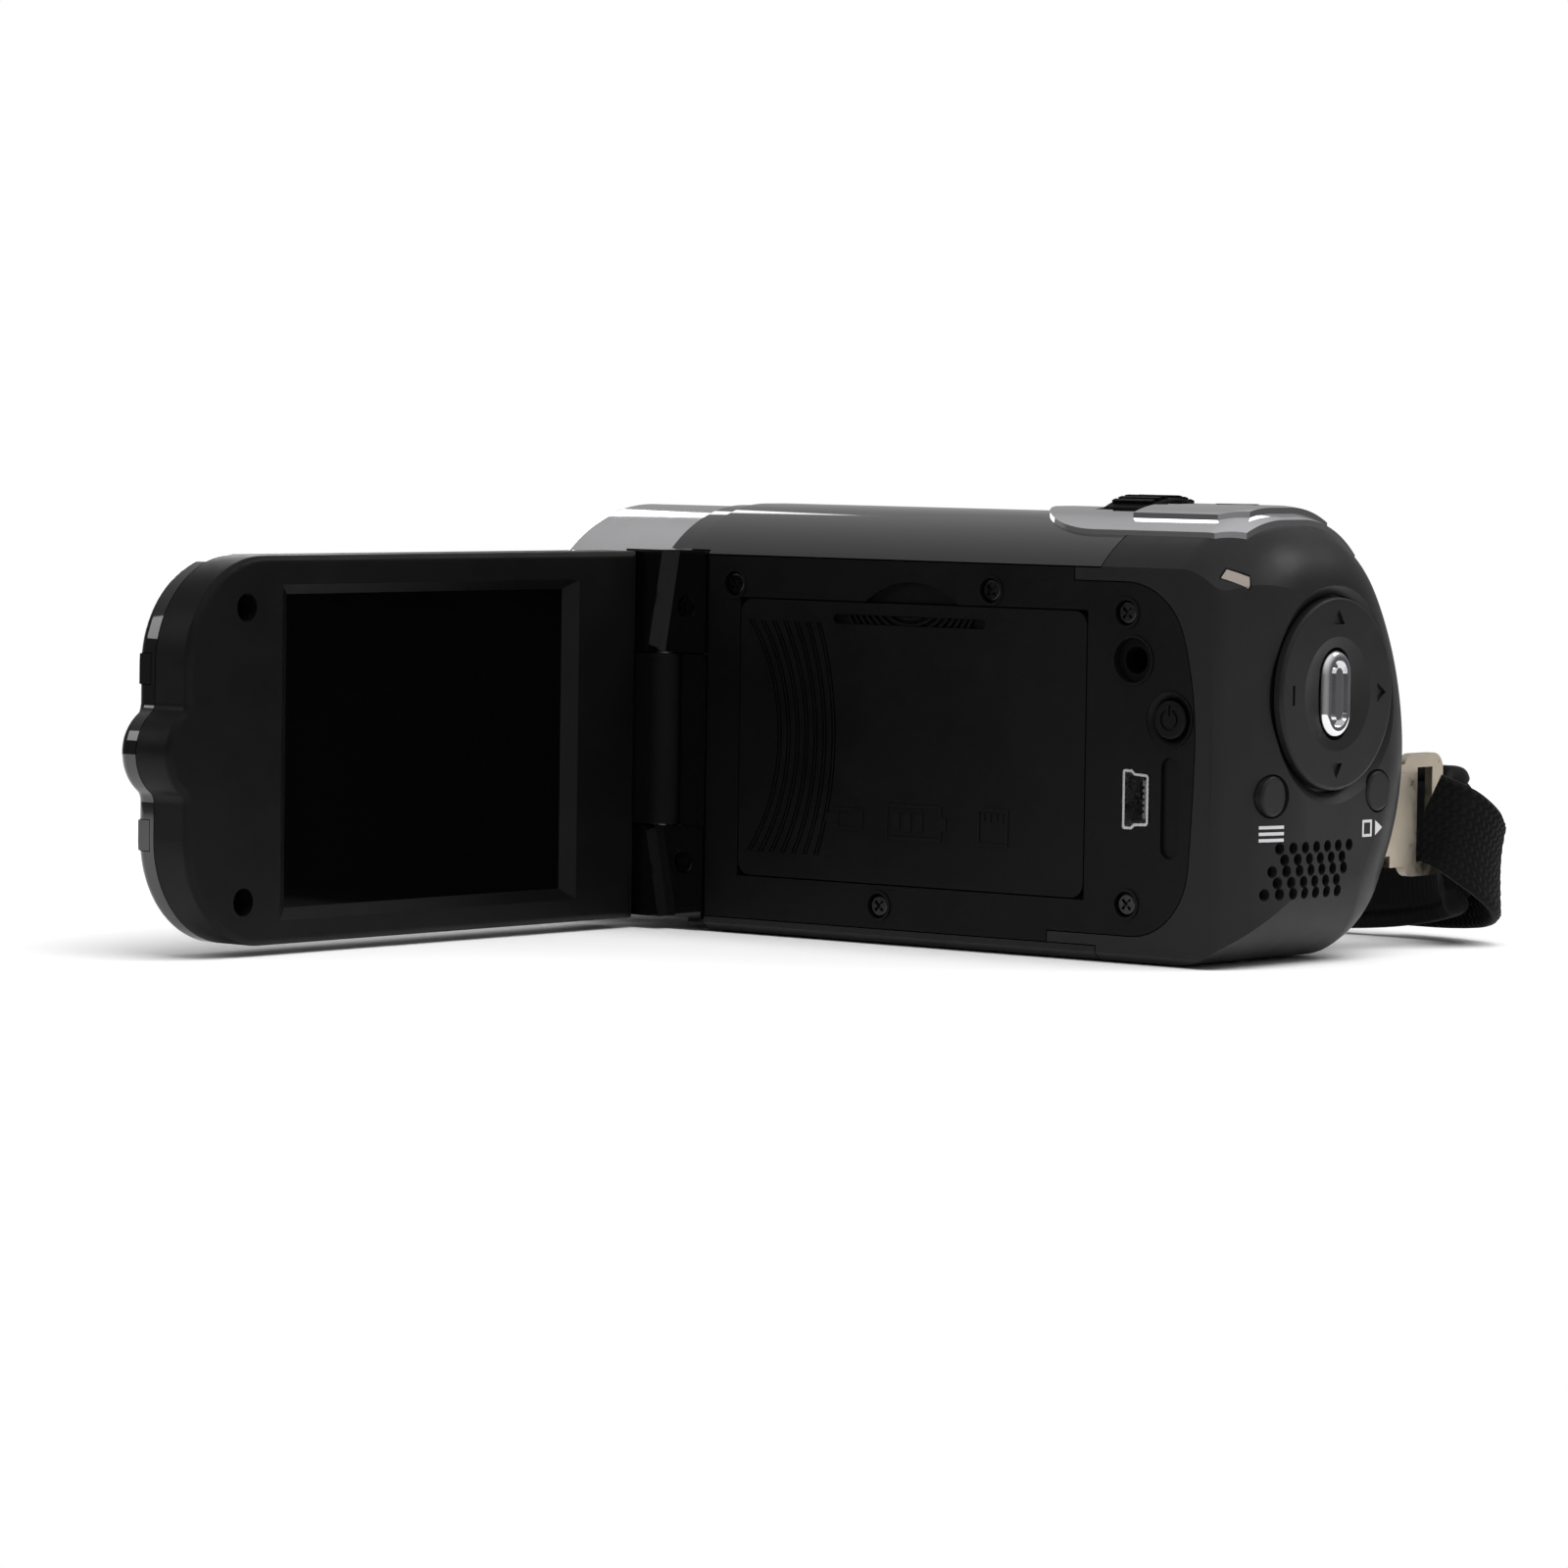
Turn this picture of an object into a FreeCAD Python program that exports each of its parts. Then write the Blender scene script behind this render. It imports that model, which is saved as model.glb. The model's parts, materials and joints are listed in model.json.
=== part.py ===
"""Compact camcorder with a fold-out screen: every piece is its own solid in its own STEP file.

Frame: millimetres, +Z up, lens towards -Y, screen side towards +X.  The origin is the mouth of the
tripod socket, in the flat base.  The screen is drawn open at a right angle to the body.
"""
import FreeCAD
import Part

import math
import os

V = FreeCAD.Vector

# ---------------------------------------------------------------- driving dimensions
SIDE_X = 18.0            # flat side that carries the battery door
RIGHT_X = -25.8          # bulge of the hand side
TOP_Z = 58.8
CREASE_Z = 52.0          # where the domed top meets the flat side
REAR_Y = 56.5
REAR_ROUND = 11.0        # rounding of the rear edges
FLANK_END_Y = 50.6       # where the flat side turns into the rear corner
COVER_FRONT_Y = -38.4    # front edge of the glossy top cover
COVER_REAR_Y = 32.9
BAND_FRONT_Y = -42.4
LENS_FRONT_Y = -64.6
WALL = 1.8
SEAM = 0.15              # visible line between neighbouring casing pieces
AXIS_X = -3.0            # centre plane of the dome and of the lens
LENS_Z = 33.0
PLATEAU_DEPTH = 2.4      # how far the rim of the side panel reaches into the rear casing

DOOR_Y = (-28.7, 30.6)
DOOR_Z = (8.0, 46.0)
DOOR_THICK = 1.2

HINGE_X = 17.0           # screen hinge, upright axis
HINGE_Y = -43.2
KNUCKLE_R = 3.4
KNUCKLE_Z = (14.3, 38.0)
EAR_LOW_Z = (1.5, 14.1)
EAR_HIGH_Z = (38.2, 52.4)
BAY_X = 12.4             # floor of the recess that the hinge sits in
NOSE_X = 20.4            # outer face of the ears beside the screen

LCD_FACE_Y = -45.0
LCD_X = (20.9, 109.6)
LCD_Z = (1.1, 52.1)
LCD_THICK = 9.5
LCD_SPLIT = 6.0          # depth of the bezel half, from the screen side
LCD_CORNER_R = 14.2
SWIVEL_Y = LCD_FACE_Y - LCD_THICK / 2
SWIVEL_Z = (LCD_Z[0] + LCD_Z[1]) / 2
SHAFT_R = 2.2
TAB_R = 6.3
TAB_END_X = 113.0

NAV_X = -2.2
NAV_Z = 35.6
NAV_R = 12.8
GIMBAL_Y = 52.4          # pivot plane of the pad
JOURNAL_R = 0.6
PLATE_HALF = 15.0        # half the width of the chrome top plate
PLATE_X = -2.5
PLATE_PROUD = 0.7        # the plate above the casing
STEP_PROUD = 1.45        # its raised step above the casing
RUN = 0.05               # radial clearance of a running fit

PARTS = "parts"


# ---------------------------------------------------------------- small helpers
def box(x, y, z):
    """Box between two limits on each axis."""
    return Part.makeBox(x[1] - x[0], y[1] - y[0], z[1] - z[0], V(x[0], y[0], z[0]))


def rod(start, direction, radius, length):
    return Part.makeCylinder(radius, length, V(*start), V(*direction))


def ring(start, direction, outer, inner, length):
    return rod(start, direction, outer, length).cut(rod(start, direction, inner, length))


def prism(points, direction):
    """Solid from a closed polygon swept along a vector."""
    wire = Part.makePolygon([V(*p) for p in points] + [V(*points[0])])
    return Part.Face(wire).extrude(V(*direction))


def slot_y(x, z, width, height, y, depth):
    """Upright slot with round ends, running back along +Y from the plane y."""
    half = height / 2 - width / 2
    body = box((x - width / 2, x + width / 2), (y, y + depth), (z - half, z + half))
    for end in (-half, half):
        body = body.fuse(rod((x, y, z + end), (0, 1, 0), width / 2, depth))
    return body.removeSplitter()


def slot_x(y, z, width, height, x, depth):
    """Upright slot with round ends, running along +X from the plane x."""
    half = height / 2 - width / 2
    body = box((x, x + depth), (y - width / 2, y + width / 2), (z - half, z + half))
    for end in (-half, half):
        body = body.fuse(rod((x, y, z + end), (1, 0, 0), width / 2, depth))
    return body.removeSplitter()


def tangent_path(start, heading_deg, stops):
    """Edges in a plane (u, v): each stop is reached by the arc that leaves in the current heading."""
    edges = []
    here = start
    heading = math.radians(heading_deg)
    for stop in stops:
        du = stop[0] - here[0]
        dv = stop[1] - here[1]
        chord = math.hypot(du, dv)
        turn = 2 * (math.atan2(dv, du) - heading)
        turn = (turn + math.pi) % (2 * math.pi) - math.pi
        if abs(turn) < 1e-3:
            edges.append((here, None, stop))
        else:
            sagitta = chord / 2 * math.tan(turn / 4)
            middle = ((here[0] + stop[0]) / 2 + dv / chord * sagitta,
                      (here[1] + stop[1]) / 2 - du / chord * sagitta)
            edges.append((here, middle, stop))
        heading += turn
        here = stop
    return edges


def outline(paths, place):
    """Closed wire from lists of (start, middle, end) edges; place turns (u, v) into a 3-D point."""
    edges = []
    for start, middle, end in paths:
        if middle is None:
            edges.append(Part.LineSegment(place(start), place(end)).toShape())
        else:
            edges.append(Part.Arc(place(start), place(middle), place(end)).toShape())
    return Part.Wire(edges)


def lines(*points):
    return [(a, None, b) for a, b in zip(points, points[1:])]


def grown(wire, amount):
    """Flat face inside a wire that is moved outwards by amount."""
    if amount:
        wire = wire.makeOffset2D(amount)
    return Part.Face(wire)


def save(node, shape):
    solids = shape.Solids
    shape = solids[0] if len(solids) == 1 else Part.makeCompound(solids)
    if not shape.isValid():
        print("NOT VALID", node)
    shape.exportStep(os.path.join(PARTS, node + ".step"))
    print(f"{node:24s} solids {len(solids)}  volume {shape.Volume:10.1f}")


# ---------------------------------------------------------------- casing
def body_wire(y):
    """Cross-section of the casing: flat side and base, domed top, bulged hand side."""
    hand = tangent_path((AXIS_X, TOP_Z), 180, [(-18.1, 51.0), (RIGHT_X, 30.0), (-22.3, 12.0), (-20.1, 7.8),
                                               (-10.0, 0.0)])
    base = lines((-10.0, 0.0), (17.0, 0.0), (SIDE_X, 1.0), (SIDE_X, CREASE_Z))
    dome = [((SIDE_X, CREASE_Z), (11.2, 56.7), (1.6, TOP_Z))] + lines((1.6, TOP_Z), (AXIS_X, TOP_Z))
    return outline(hand + base + dome, lambda p: V(p[0], y, p[1]))


def ring_wire(y):
    """Cross-section of the lens barrel: rounder shoulders than the casing."""
    hand = tangent_path((AXIS_X, 58.2), 180, [(-17.9, 50.5), (-25.4, 30.5), (-22.1, 13.0), (-20.2, 9.5),
                                              (-10.0, 1.6)])
    base = lines((-10.0, 1.6), (15.7, 1.6), (17.7, 3.6), (17.7, 48.4))
    dome = [((17.7, 48.4), (9.7, 55.0), (AXIS_X, 58.2))]
    return outline(hand + base + dome, lambda p: V(p[0], y, p[1]))


def side_trim(inset):
    """Material outside the tight rear corner of the flat side and the gently bowed rear face."""
    reach = REAR_Y + 20
    side = SIDE_X - inset
    crown = (3.6 - inset, REAR_Y - inset)
    curve = tangent_path((side, FLANK_END_Y), 90, [(16.8 - inset, 52.7), crown])
    rest = lines(crown, (crown[0], reach), (60, reach), (60, FLANK_END_Y), (side, FLANK_END_Y))
    return Part.Face(outline(curve + rest, lambda p: V(p[0], p[1], -20))).extrude(V(0, 0, 120))


def casing(inset, front=BAND_FRONT_Y):
    """Solid envelope of the body, moved inwards by inset, with its rear edges rounded."""
    back = REAR_Y - inset
    solid = grown(body_wire(front), -inset).extrude(V(0, back - front, 0))
    rear_edges = [e for e in solid.Edges
                  if e.BoundBox.YMin > back - 0.01 and e.BoundBox.Center.x < SIDE_X - inset - 0.6]
    solid = solid.makeFillet(REAR_ROUND - inset, rear_edges)
    return solid.cut(side_trim(inset))


def cavity():
    """Room inside the casing; its rear end steps in to keep the wall behind the rounded edges."""
    front = BAND_FRONT_Y - 5
    room = None
    for inset, depth in ((WALL, 8.0), (3.6, 6.0), (5.6, 4.0), (7.8, WALL)):
        level = grown(body_wire(front), -inset).extrude(V(0, REAR_Y - depth - front, 0))
        room = room.fuse(level) if room else level
    return room.cut(side_trim(WALL))


def panel_top_end():
    """Rounded rear end of the side panel insert, from its top edge to its bottom edge (y, z)."""
    return tangent_path((37.0, 50.0), 0, [(46.4, 43.0), (48.4, 28.0), (47.6, 12.5), (44.0, 5.5), (38.8, 3.5)])


def panel_wire(x):
    front = -34.6
    loop = lines((front, 1.95), (front, 51.8), (28.4, 51.8), (28.4, 50.0), (37.0, 50.0))
    loop += panel_top_end()
    loop += lines((38.8, 3.5), (24.7, 3.5), (24.7, 1.95), (front, 1.95))
    return outline(loop, lambda p: V(x, p[0], p[1]))


def rim_wire(x):
    """Outer outline of the raised rim that wraps the rear end of the side panel."""
    loop = lines((24.85, 1.95), (24.85, 51.8), (36.5, 51.8))
    loop += tangent_path((36.5, 51.8), 0, [(49.2, 43.6), (50.9, 36.0), (51.0, 22.0), (49.8, 10.4),
                                           (46.2, 4.6), (39.0, 1.95)])
    loop += lines((39.0, 1.95), (24.85, 1.95))
    return outline(loop, lambda p: V(x, p[0], p[1]))


PANEL_SCREWS = [(-29.9, 48.0), (14.5, 48.3), (37.1, 46.0), (-3.9, 5.0), (37.7, 7.6)]
EAR_SCREWS = [(-38.2, 44.5), (-38.2, 9.1)]
AV_JACK = (38.3, 39.8)
USB_PORT = (39.1, 21.5)
POWER = (44.3, 32.2)


def usb_wire(x):
    """Mouth of the small five-pin socket: a rectangle with one waisted end."""
    half = [(-2.1, -3.7), (-1.9, -3.95), (-0.6, -3.95), (-0.1, -3.5), (1.8, -3.4), (2.1, -3.1)]
    loop = half + [(y, -z) for y, z in reversed(half)]
    return Part.makePolygon([V(x, USB_PORT[0] + y, USB_PORT[1] + z) for y, z in loop + [loop[0]]])


def side_panel():
    """Inset side plate with the battery opening, port holes and screw recesses."""
    plate = Part.Face(panel_wire(SIDE_X - WALL)).extrude(V(WALL, 0, 0))
    plate = plate.cut(box((10, 30), (DOOR_Y[0] + 1.2, DOOR_Y[1] - 1.2), (DOOR_Z[0] + 1.2, DOOR_Z[1] - 1.2)))
    rebate = 0.2
    plate = plate.cut(box((SIDE_X - DOOR_THICK - 0.1, 30), (DOOR_Y[0] - rebate, DOOR_Y[1] + rebate),
                          (DOOR_Z[0] - rebate, DOOR_Z[1] + rebate)))
    # thumb scoop over the middle of the door's top edge
    scoop = rod((SIDE_X - 0.9, 1.1, 36.2), (1, 0, 0), 12.8, 3)
    plate = plate.cut(scoop.common(box((10, 30), (-10, 12), (DOOR_Z[1], 52))))
    for y, z in PANEL_SCREWS:
        plate = plate.cut(rod((SIDE_X - 0.9, y, z), (1, 0, 0), 1.7, 2))
        plate = plate.cut(rod((10, y, z), (1, 0, 0), 0.9, 20))
        plate = plate.fuse(ring((SIDE_X, y, z), (1, 0, 0), 2.1, 1.7, 0.2))
    plate = plate.cut(rod((10, AV_JACK[0], AV_JACK[1]), (1, 0, 0), 3.0, 20))
    plate = plate.fuse(ring((SIDE_X, AV_JACK[0], AV_JACK[1]), (1, 0, 0), 3.3, 3.0, 0.2))
    plate = plate.cut(rod((10, POWER[0], POWER[1]), (1, 0, 0), 2.75, 20))
    plate = plate.cut(Part.makeCone(2.75, 3.6, 0.7, V(SIDE_X - 0.7, POWER[0], POWER[1]), V(1, 0, 0)))
    plate = plate.fuse(ring((SIDE_X - 0.1, POWER[0], POWER[1]), (1, 0, 0), 3.8, 3.6, 0.3))
    plate = plate.cut(grown(usb_wire(10), 0.12).extrude(V(20, 0, 0)))
    plate = plate.cut(slot_x(44.6, 20.6, 2.9, 13.4, SIDE_X - 0.5, 2))
    return plate.removeSplitter()


def rim():
    """Raised rim with three step grooves that follow its rounded outline."""
    solid = Part.Face(rim_wire(SIDE_X - PLATEAU_DEPTH)).extrude(V(PLATEAU_DEPTH, 0, 0))
    opening = grown(panel_wire(0), SEAM).extrude(V(40, 0, 0))
    for step in (0.4, 1.0, 1.6):
        groove = grown(rim_wire(SIDE_X - 0.35), -step).extrude(V(2, 0, 0))
        groove = groove.cut(grown(rim_wire(SIDE_X - 0.35), -step - 0.3).extrude(V(2, 0, 0)))
        solid = solid.cut(groove.common(box((0, 30), (34, 60), (-5, 60))))
    return solid.cut(opening)


GRILLE_ROWS = [(7, 8.8, 15.5), (6, 7.9, 14.0), (7, 10.0, 12.5), (6, 9.1, 11.0), (7, 11.2, 9.5)]
GRILLE_PITCH = 2.5
MENU_XZ = (10.2, 22.4)
MODE_XZ = (-12.7, 22.4)


def grille_holes():
    holes = []
    for count, first_x, z in GRILLE_ROWS:
        for index in range(count):
            holes.append(rod((first_x - index * GRILLE_PITCH, REAR_Y - 8, z), (0, 1, 0), 0.8, 10))
    return holes


def light_pipe_zone(gap):
    """Bent strip around the rear corner, level along the side and falling away across the rear."""
    profile = [(20.0, 52.9 + gap), (16.9, 52.8 + gap), (13.6 - gap, 51.1 + gap), (14.3 - gap, 49.6 - gap),
               (17.3, 51.3 - gap), (20.0, 51.4 - gap)]
    return prism([(x, 51.3 - gap, z) for x, z in profile], (0, 12, 0))


def light_pipe(outer):
    strip = outer.common(light_pipe_zone(0.0))
    behind = strip.copy()
    behind.translate(V(-1.4, -1.4, 0))
    return max(strip.cut(behind).Solids, key=lambda s: s.Volume)


def rear_shell(outer, inner):
    shell = outer.cut(inner)
    shell = shell.common(box((-60, 60), (COVER_REAR_Y, 80), (-5, 80)))
    solid_wall = outer.common(box((-60, 60), (COVER_REAR_Y, 80), (-5, 80)))
    backing = solid_wall.common(Part.Face(rim_wire(SIDE_X - 4)).extrude(V(20, 0, 0)))
    opening = grown(panel_wire(0), SEAM).extrude(V(40, 0, 0))
    shell = shell.fuse(backing).fuse(rim()).cut(opening)
    # dished seat for the navigation pad, with a soft rim
    shell = shell.cut(rod((NAV_X, REAR_Y - 1.6, NAV_Z), (0, 1, 0), NAV_R + 0.35, 10))
    shell = shell.cut(Part.makeCone(NAV_R + 0.35, NAV_R + 1.9, 0.9,
                                    V(NAV_X, REAR_Y - 0.85, NAV_Z), V(0, 1, 0)))
    shell = shell.fuse(ring((NAV_X, REAR_Y - 5.2, NAV_Z), (0, 1, 0), NAV_R + 2.0, 8.0, 2.4).cut(
        rod((NAV_X, REAR_Y - 2.9, NAV_Z), (0, 1, 0), NAV_R + 0.35, 10)).common(outer))
    shell = shell.cut(rod((NAV_X, REAR_Y - 8, NAV_Z), (0, 1, 0), 8.0, 10))
    shell = shell.cut(rod((NAV_X, GIMBAL_Y, NAV_Z - 9.6), (0, 0, 1), JOURNAL_R + RUN, 19.2))
    for x, z in (MENU_XZ, MODE_XZ):
        shell = shell.cut(rod((x, REAR_Y - 8, z), (0, 1, 0), 2.9, 10))
        shell = shell.cut(rod((x, REAR_Y - 12, z), (0, 1, 0), 3.9, 12 - 2.6))
    shell = shell.cut(Part.makeCompound(grille_holes()))
    shell = shell.cut(light_pipe_zone(0.2))
    shell = shell.cut(top_well())
    shell = shell.cut(lug_slot(REAR_LUG_Y))
    biggest = max(shell.Solids, key=lambda s: s.Volume)
    return biggest.removeSplitter()


def cover_zone(front, rear):
    points = [(60, front, CREASE_Z), (60, front, 80), (-60, front, 80), (-60, front, 38.0),
              (AXIS_X, front, 38.0), (AXIS_X, front, CREASE_Z)]
    return prism(points, (0, rear - front, 0))


def top_well():
    """Well under the zoom rocker and the shutter button, cut through the roof."""
    well = box((PLATE_X - 7.6, PLATE_X + 7.6), (21.6, 30.6), (53, 70))
    return well.fuse(rod((PLATE_X, 40.0, 50), (0, 0, 1), 3.3, 20))


def top_cover(outer, inner):
    cover = outer.cut(inner).common(cover_zone(COVER_FRONT_Y + SEAM, COVER_REAR_Y - SEAM))
    return cover.cut(top_well()).cut(hinge_bay())


def grip_shell(outer, inner):
    """Hand side and flat base of the body, with the tripod boss in the base."""
    shell = outer.cut(inner).common(box((-60, 60), (COVER_FRONT_Y + SEAM, COVER_REAR_Y - SEAM), (-5, 60)))
    shell = shell.cut(cover_zone(COVER_FRONT_Y - 5, COVER_REAR_Y + 5).fuse(
        box((-60, 60), (-60, 60), (38.0 - SEAM, 38.1))))
    shell = shell.cut(box((SIDE_X - WALL - 0.2, 60), (-60, 60), (WALL, 60)))
    shell = shell.cut(box((AXIS_X, 60), (-60, 60), (30, 60)))
    shell = shell.cut(hinge_bay())
    shell = shell.fuse(rod((0, 0, WALL - 0.1), (0, 0, 1), 7.0, 5.0))
    shell = shell.cut(rod((0, 0, -1), (0, 0, 1), 5.0, 20))
    shell = shell.cut(lug_slot(FRONT_LUG_Y))
    return max(shell.Solids, key=lambda s: s.Volume).removeSplitter()


def lug_slot(y):
    slot = box((-32, -19.9), (y - 0.75, y + 0.75), (12.4, 23.6))
    return slot.fuse(box((-20.0, -18.5), (y - 4.1, y + 1.3), (12.4, 23.6)))


def hinge_bay():
    """Recess in the front corner of the body that the screen hinge sits in."""
    reach = KNUCKLE_R + 0.3
    bay = box((BAY_X, 40), (HINGE_Y, -34.75), (-2, EAR_HIGH_Z[1] + 0.15))
    return bay.fuse(rod((HINGE_X, HINGE_Y, -2), (0, 0, 1), reach, EAR_HIGH_Z[1] + 2.15))


def front_band():
    """Black frame between the lens barrel and the body."""
    wire = body_wire(BAND_FRONT_Y + SEAM)
    band = grown(wire, -0.3).extrude(V(0, COVER_FRONT_Y - BAND_FRONT_Y - SEAM, 0))
    band = band.cut(grown(wire, -2.6).extrude(V(0, 10, 0)))
    return max(band.cut(hinge_bay()).Solids, key=lambda s: s.Volume)


# ---------------------------------------------------------------- lens end
OPENING_R = 19.6
LENS_X = -4.5
LENS_CENTRE_Z = 31.0


def lens_ring():
    ring_body = Part.Face(ring_wire(LENS_FRONT_Y)).extrude(V(0, BAND_FRONT_Y - LENS_FRONT_Y, 0))
    front = [e for e in ring_body.Edges if e.BoundBox.YMax < LENS_FRONT_Y + 0.01]
    ring_body = ring_body.makeFillet(1.6, front)
    hollow = grown(ring_wire(LENS_FRONT_Y + 3.0), -2.0).extrude(V(0, 40, 0))
    ring_body = ring_body.cut(hollow)
    ring_body = ring_body.cut(Part.makeCone(OPENING_R + 1.2, OPENING_R, 3.5,
                                            V(LENS_X, LENS_FRONT_Y - 0.2, LENS_CENTRE_Z), V(0, 1, 0)))
    return max(ring_body.cut(hinge_bay()).Solids, key=lambda s: s.Volume)


def lens_bezel():
    """Black cone that surrounds the lens, with the lamp window and microphone holes."""
    face_y = LENS_FRONT_Y + 3.1
    disc = rod((LENS_X, face_y, LENS_CENTRE_Z), (0, 1, 0), OPENING_R + 0.4, 5.0)
    dish = Part.makeCone(OPENING_R - 0.6, 10.4, 3.6, V(LENS_X, face_y, LENS_Z), V(0, 1, 0))
    disc = disc.cut(dish.common(rod((LENS_X, face_y - 1, LENS_CENTRE_Z), (0, 1, 0), OPENING_R - 0.6, 9)))
    for radius in (11.8, 13.4, 15.0):
        disc = disc.cut(ring((LENS_X, face_y, LENS_Z), (0, 1, 0), radius + 0.3, radius, 3.4))
    disc = disc.cut(rod((LENS_X, face_y - 1, LENS_Z), (0, 1, 0), 9.2, 9))
    disc = disc.cut(rod((LENS_X, face_y - 1, 14.2), (0, 1, 0), 2.5, 9))
    disc = disc.cut(rod((LENS_X + 9.0, face_y - 1, 15.6), (0, 1, 0), 0.6, 9))
    room = grown(ring_wire(LENS_FRONT_Y), -2.1).extrude(V(0, 20, 0))
    return disc.common(room).removeSplitter()


def lens_disc(y, radius, thick, bulge):
    """Glass element: a disc whose two faces bulge outwards by the same amount."""
    def place(p):
        return V(LENS_X + p[0], p[1], LENS_Z)
    low = y - bulge
    high = y + thick + bulge
    half = radius / 2
    sphere_r = (radius ** 2 + bulge ** 2) / (2 * bulge)
    dip = sphere_r - math.sqrt(sphere_r ** 2 - half ** 2)
    half_section = [((0, low), (half, low + dip), (radius, y))] + lines((radius, y), (radius, y + thick))
    half_section += [((radius, y + thick), (half, high - dip), (0, high))] + lines((0, high), (0, low))
    return Part.Face(outline(half_section, place)).revolve(V(LENS_X, 0, LENS_Z), V(0, 1, 0), 360)


def lens_group():
    """Barrel, three glass elements, filter, sensor and its board, along the lens axis."""
    seat = LENS_FRONT_Y + 6.5
    barrel = ring((LENS_X, seat, LENS_Z), (0, 1, 0), 9.1, 7.6, 24.0)
    barrel = barrel.fuse(ring((LENS_X, seat + 2.5, LENS_Z), (0, 1, 0), 7.7, 5.2, 2.0))
    barrel = barrel.fuse(ring((LENS_X, seat + 12.0, LENS_Z), (0, 1, 0), 7.7, 4.0, 1.5))
    barrel = barrel.fuse(ring((LENS_X, seat + 21.0, LENS_Z), (0, 1, 0), 10.8, 4.6, 3.0))
    save("lens_barrel", barrel.removeSplitter())
    save("front_glass", lens_disc(seat + 0.9, 7.5, 0.3, 0.6))
    save("lens_element_front", lens_disc(seat + 6.2, 7.4, 1.0, 1.4))
    save("lens_element_middle", lens_disc(seat + 14.9, 7.4, 0.8, 1.0))
    save("lens_element_rear", lens_disc(seat + 18.3, 7.3, 0.6, 0.8))
    board_y = seat + 24.1
    save("image_sensor", box((LENS_X - 4.5, LENS_X + 4.5), (board_y + 0.7, board_y + 1.7),
                             (LENS_Z - 4, LENS_Z + 4)))
    save("sensor_board", box((LENS_X - 11, LENS_X + 11), (board_y + 1.8, board_y + 2.8),
                             (LENS_Z - 11, LENS_Z + 11)))


def front_lamp():
    face_y = LENS_FRONT_Y + 3.1
    window = rod((LENS_X, face_y + 1.9, 14.2), (0, 1, 0), 2.4, 2.0)
    save("lamp_window", window)
    save("lamp_led", box((LENS_X - 1.8, LENS_X + 1.8), (face_y + 5.1, face_y + 6.6), (12.4, 16.0)))
    save("microphone", rod((LENS_X + 9.0, face_y + 5.1, 15.6), (0, 1, 0), 2.0, 2.4))


# ---------------------------------------------------------------- battery bay and electronics
BAY_FLOOR_X = 6.5


def battery_bay():
    """Tray behind the door, open towards the door and slotted for the memory card."""
    y = (DOOR_Y[0] + 1.3, DOOR_Y[1] - 1.3)
    z = (DOOR_Z[0] + 1.3, DOOR_Z[1] - 1.3)
    tray = box((BAY_FLOOR_X - 1.0, SIDE_X - WALL - 0.1), (y[0] - 0.9, y[1] + 0.9), (z[0] - 0.9, z[1] + 0.9))
    tray = tray.cut(box((BAY_FLOOR_X, 30), y, z))
    tray = tray.cut(box((0, 30), (-27.2, -24.6), (14.6, 39.4)))
    return tray.removeSplitter()


def battery_contacts():
    springs = []
    for z in (22.0, 27.0, 32.0):
        springs.append(box((8.5, 13.5), (-24.3, -23.1), (z - 0.9, z + 0.9)))
    return Part.makeCompound(springs)


def battery():
    pack = box((7.0, 14.2), (-23.0, 29.1), (9.5, 44.5))
    return pack.makeFillet(1.4, [e for e in pack.Edges if abs(e.BoundBox.YLength) > 50])


def card_parts():
    card = box((-17.0, 14.6), (-26.95, -24.85), (15.0, 39.0))
    card = card.cut(prism([(-17.0, -30, 39.0), (-13.0, -30, 39.0), (-17.0, -30, 35.0)], (0, 10, 0)))
    save("memory_card", card)
    cage = box((-18.2, 5.3), (-27.8, -24.0), (14.0, 40.0))
    cage = cage.cut(box((-17.2, 10), (-27.2, -24.6), (14.7, 39.3)))
    save("card_socket", cage)


def main_board():
    """Board along the hand side, holed where it would foul the tripod boss and the card socket."""
    board = box((-9.0, -7.8), (-18.0, 46.0), (9.0, 50.0))
    chips = [box((-11.0, -9.0), (-8, 6), (20, 34)), box((-10.4, -9.0), (12, 22), (30, 38)),
             box((-10.2, -9.0), (12, 20), (14, 20))]
    return board.fuse(chips).removeSplitter()


def tripod_nut():
    nut = rod((0, 0, 0.0), (0, 0, 1), 5.0, 6.0)
    nut = nut.cut(rod((0, 0, -1), (0, 0, 1), 3.175, 9.0))
    return nut


def rear_electronics():
    face = REAR_Y - 5.4
    board = box((-15.4, 12.0), (face - 3.1, face - 2.1), (18.5, 47.4))
    board = board.cut(box((-6.0, 6.0), (face - 5, face), (10, 19)))
    save("key_board", board)
    domes = [rod((NAV_X + dx, face - 2.05, NAV_Z + dz), (0, 1, 0), 1.9, 0.7)
             for dx, dz in ((-5.4, 0), (5.4, 0), (0, -5.4), (0, 5.4))]
    domes += [rod((x, face - 2.05, z), (0, 1, 0), 1.9, 0.7) for x, z in (MENU_XZ, MODE_XZ)]
    save("tact_switches", Part.makeCompound(domes))
    save("speaker", rod((2.3, REAR_Y - 6.9, 13.4), (0, 1, 0), 5.5, 3.9).cut(
        rod((2.3, REAR_Y - 4.0, 13.4), (0, 1, 0), 4.6, 3.0)))


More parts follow.
